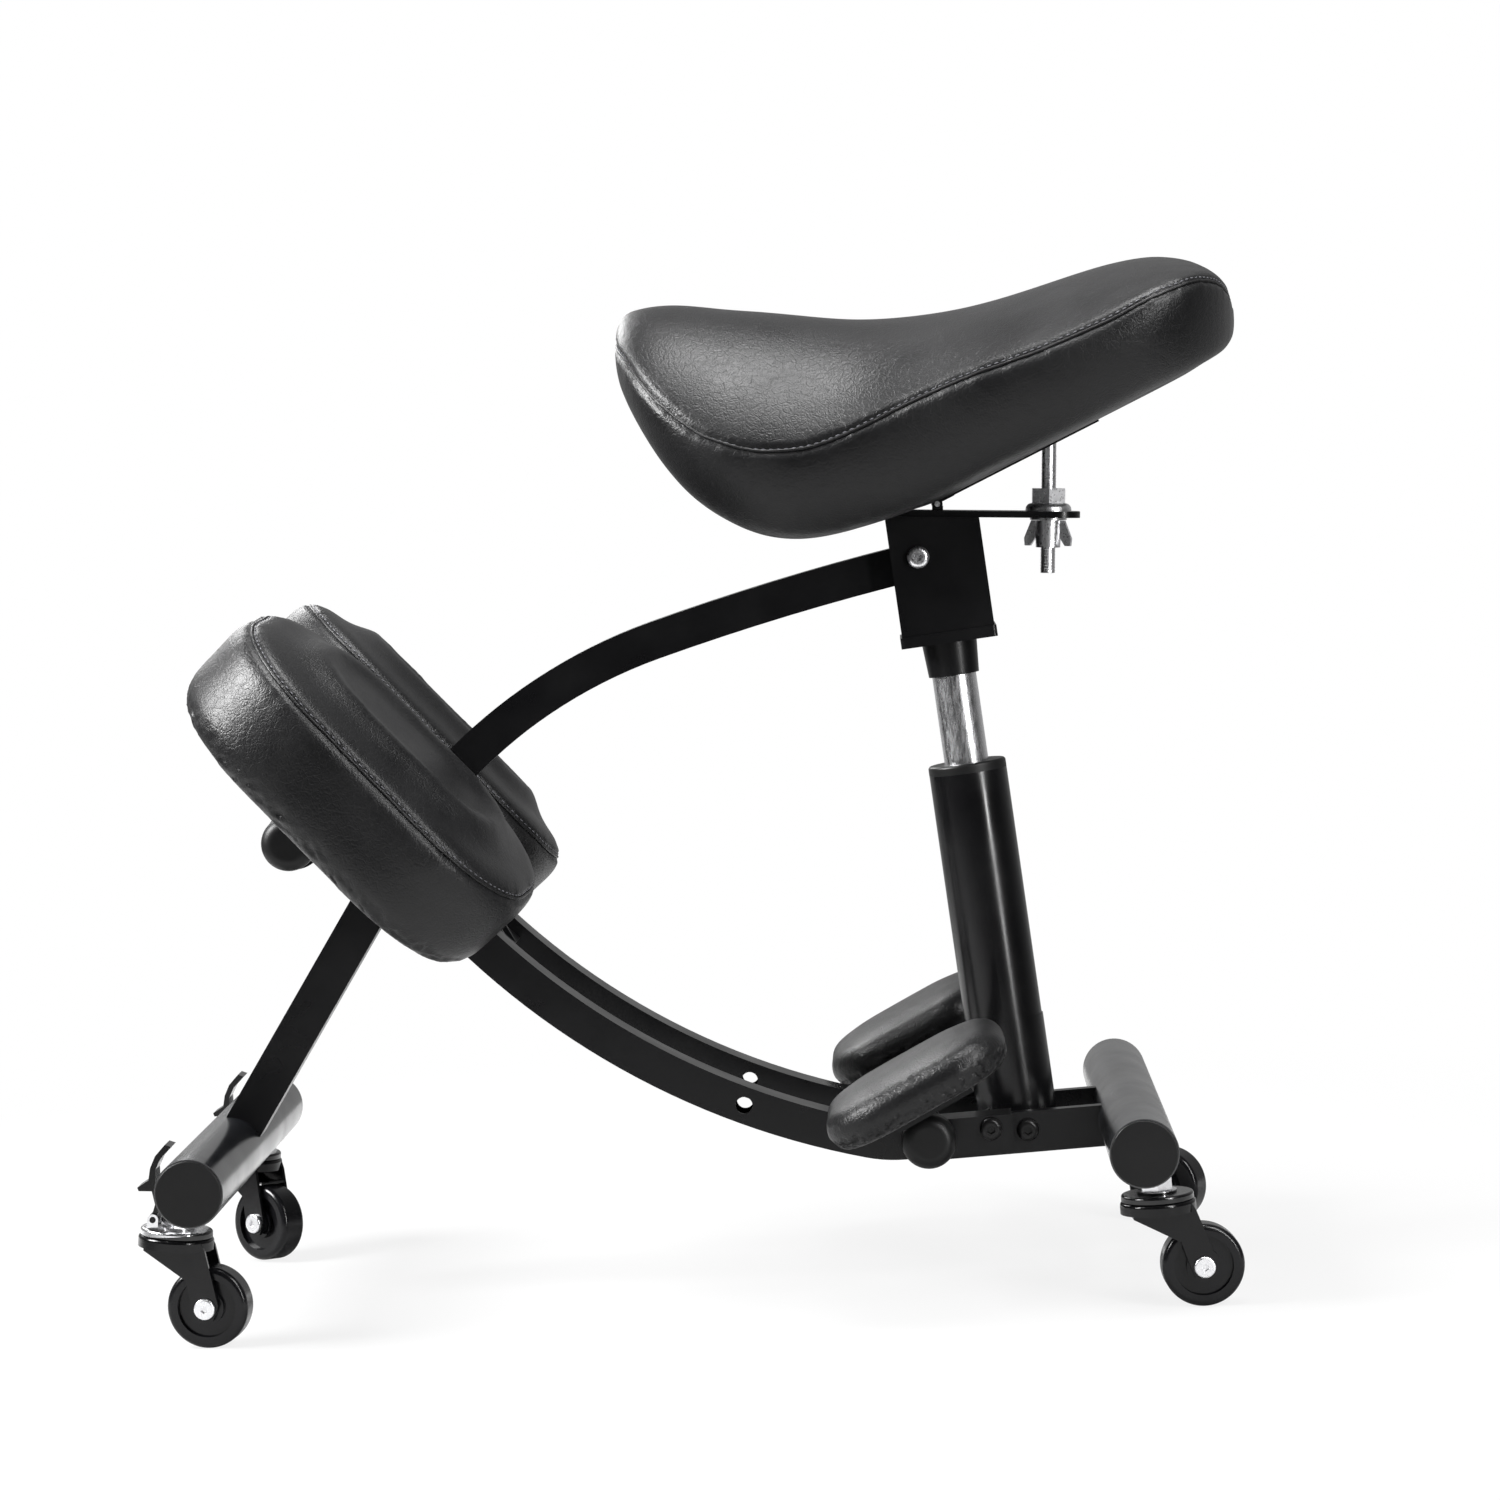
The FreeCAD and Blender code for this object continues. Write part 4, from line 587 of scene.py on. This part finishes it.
def shifted(y, z, along, out, slope):
    """A point moved along the pad's slope and out of its face."""
    c, s = math.cos(math.radians(slope)), math.sin(math.radians(slope))
    return y + along * c - out * s, z + along * s + out * c


def rounded_outline(length, width, corner, height, place):
    """Closed line of a rounded oblong at a height above the base."""
    a, b, out = width / 2 - corner, length / 2 - corner, []
    for cx, cy, start in ((a, b, 0), (-a, b, 90), (-a, -b, 180), (a, -b, 270)):
        for k in range(10):
            t = math.radians(start + 10 * k)
            point = Vector((cx + corner * math.cos(t), cy + corner * math.sin(t), height))
            out.append(place @ (point * MM))
    return out


def pleat(skin, place, depth, reach, wave, seed):
    """Short gathers round the base: the skin ripples in and out along its edge."""
    back = place.inverted()
    for v in skin.data.vertices:
        local = back @ v.co
        height = local.z / MM
        if -1.0 < height < reach:
            flat = Vector((local.x, local.y, 0))
            angle = math.atan2(local.x, local.y)
            around = Vector((math.cos(angle), math.sin(angle), seed))
            ripple = noise.noise(around * (flat.length / MM / wave))
            fade = math.sin(math.pi * min(1.0, max(0.0, (height + 1) / reach)))
            v.co -= (place.to_3x3() @ flat.normalized()) * (abs(ripple) * depth * fade * 2.0 * MM)
    skin.data.update()


KNEE_SLOPE = -48.3
KNEE_ROLL = 5.5
KNEE_LENGTH = 242
KNEE_WIDTH = 184
knee_y, knee_z = shifted(-250.5, 298.5, 8.5, 27.0, KNEE_SLOPE)
for side, sign in (("left", 1), ("right", -1)):
    place = pad_frame(sign * 113.5, knee_y, knee_z, sign * KNEE_ROLL, KNEE_SLOPE)
    back = place.inverted()
    pad = even_skin("knee_pad_" + side, merged_copy(["knee_cushion_" + side, "knee_board_" + side]), 4.5)
    puff(pad, lambda p, back=back: (back @ p).z, 0.5, 0.7)
    refine(pad)
    pleat(pad, place, 1.8, 16, 9.0, 3.0 + sign)
    outline = rounded_outline(KNEE_LENGTH - 8, KNEE_WIDTH - 8, 72, 63.5, place)
    middle = place @ Vector((0, 0, 0.066))
    inward = lambda p, middle=middle: (middle - p).normalized()
    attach(pad, "knee_" + side)
    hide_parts("knee_cushion_" + side, "knee_board_" + side)
    sew(pad, outline, inward, "knee_" + side)

# %% [markdown]
# The ankle pads are smaller and have no seam: one piece of leather is pulled over the foam and
# gathered under the board, so their pleats are deeper.

# %% Ankle pads
ANKLE_SLOPE = 27.0
ankle_y, ankle_z = shifted(137.0, 96.0, 14.0, 29.0, ANKLE_SLOPE)
for side, sign in (("left", 1), ("right", -1)):
    place = pad_frame(sign * 130, ankle_y, ankle_z, 0, ANKLE_SLOPE)
    back = place.inverted()
    bm = merged_copy(["ankle_cushion_" + side, "ankle_boards"])
    far = [v for v in bm.verts if v.co.x * sign < 0]
    bmesh.ops.delete(bm, geom=far, context="VERTS")
    pad = even_skin("ankle_pad_" + side, bm, 3.5)
    puff(pad, lambda p, back=back: (back @ p).z, 0.5, 1.0)
    refine(pad)
    pleat(pad, place, 2.6, 13, 6.0, 7.0 + sign)
    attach(pad, "ankles")
    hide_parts("ankle_cushion_" + side, *(["ankle_boards"] if sign > 0 else []))

# %% [markdown]
# The saddle narrows to a raised nose and dips in the middle. Its seam runs where the crown
# meets the side wall, so its points are the widest ones of the cross sections: place along the
# chair, seam height and half width, in millimetres.

# %% Saddle
SADDLE_SEAM = ((-35, 598, 0), (-35, 597, 34), (-29, 588, 74), (-12, 563, 106), (16, 539, 126),
               (48, 527, 135),
               (81, 527, 138), (108, 536, 140), (141, 551.5, 144), (176, 565.5, 152), (221, 579, 161),
               (266, 596, 166), (304, 613, 158), (328, 618, 134), (342, 611, 96), (348, 601, 48),
               (349, 600, 0))
SEAT_SLOPE = 24.3
SEAT_BASE = (235.0, 526.0)
BOARD_FRONT = 0.14
NOSE_LEVEL = 0.44


def above_board(point):
    """Distance of a point above the plane of the seat board's underside."""
    rise = math.radians(SEAT_SLOPE)
    back, high = point.y - SEAT_BASE[0] * MM, point.z - SEAT_BASE[1] * MM
    return high * math.cos(rise) - back * math.sin(rise)


def above_underside(point):
    """Distance above the board, or above the nose's lowest level where there is no board."""
    return above_board(point) if point.y > BOARD_FRONT else point.z - NOSE_LEVEL


saddle = even_skin("saddle", merged_copy(["seat_cushion", "seat_board"]), 4.5)
puff(saddle, above_underside, 1.2, 2.5)
refine(saddle)
half_line = [Vector((x, y, z)) * MM for y, z, x in SADDLE_SEAM]
other_half = [Vector((-p.x, p.y, p.z)) for p in reversed(half_line[1:-1])]
outline = half_line + other_half
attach(saddle, "seat")
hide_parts("seat_cushion", "seat_board")


def saddle_inward(point):
    """From the seam up and over towards the saddle's spine."""
    spine = Vector((0, min(max(point.y, 0.02), 0.29), point.z + 0.03))
    return (spine - point).normalized()


sew(saddle, outline, saddle_inward, "seat")

# %% [markdown]
# The tilt rod is a length of studding. Its thread is a thin three sided ridge, spun round the
# rod while it climbs, drawn at a 2 mm pitch so that it shows at this distance.

# %% Thread on the tilt rod
ROD_LEAN = math.radians(3.2)
ROD_AT_PLATE = Vector((0, 230.4, 476.52)) * MM
ROD_BELOW_PLATE = 35 * MM
PITCH = 2.0
STEPS = 14
TURNS = 37
rod_line = Vector((0, math.sin(ROD_LEAN), math.cos(ROD_LEAN)))
rod_foot = ROD_AT_PLATE - rod_line * ROD_BELOW_PLATE
bm = bmesh.new()
corners = [bm.verts.new(Vector((r, 0, z)) * MM) for r, z in ((4.3, 0.0), (4.85, 0.6), (4.3, 1.2))]
start = [bm.edges.new((corners[0], corners[1])), bm.edges.new((corners[1], corners[2]))]
bmesh.ops.spin(bm, geom=corners + start, cent=(0, 0, 0), axis=(0, 0, 1), angle=math.tau * TURNS,
               steps=STEPS * TURNS, dvec=(0, 0, PITCH * MM / STEPS))
lean = Vector((0, 0, 1)).rotation_difference(rod_line).to_matrix().to_4x4()
bmesh.ops.transform(bm, matrix=Matrix.Translation(rod_foot + rod_line * 0.5 * MM) @ lean, verts=bm.verts)
bmesh.ops.recalc_face_normals(bm, faces=bm.faces)
thread = make_object("rod_thread", bm, plated_steel)
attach(thread, "seat")

# %% View transform
scene.view_settings.view_transform = "Standard"
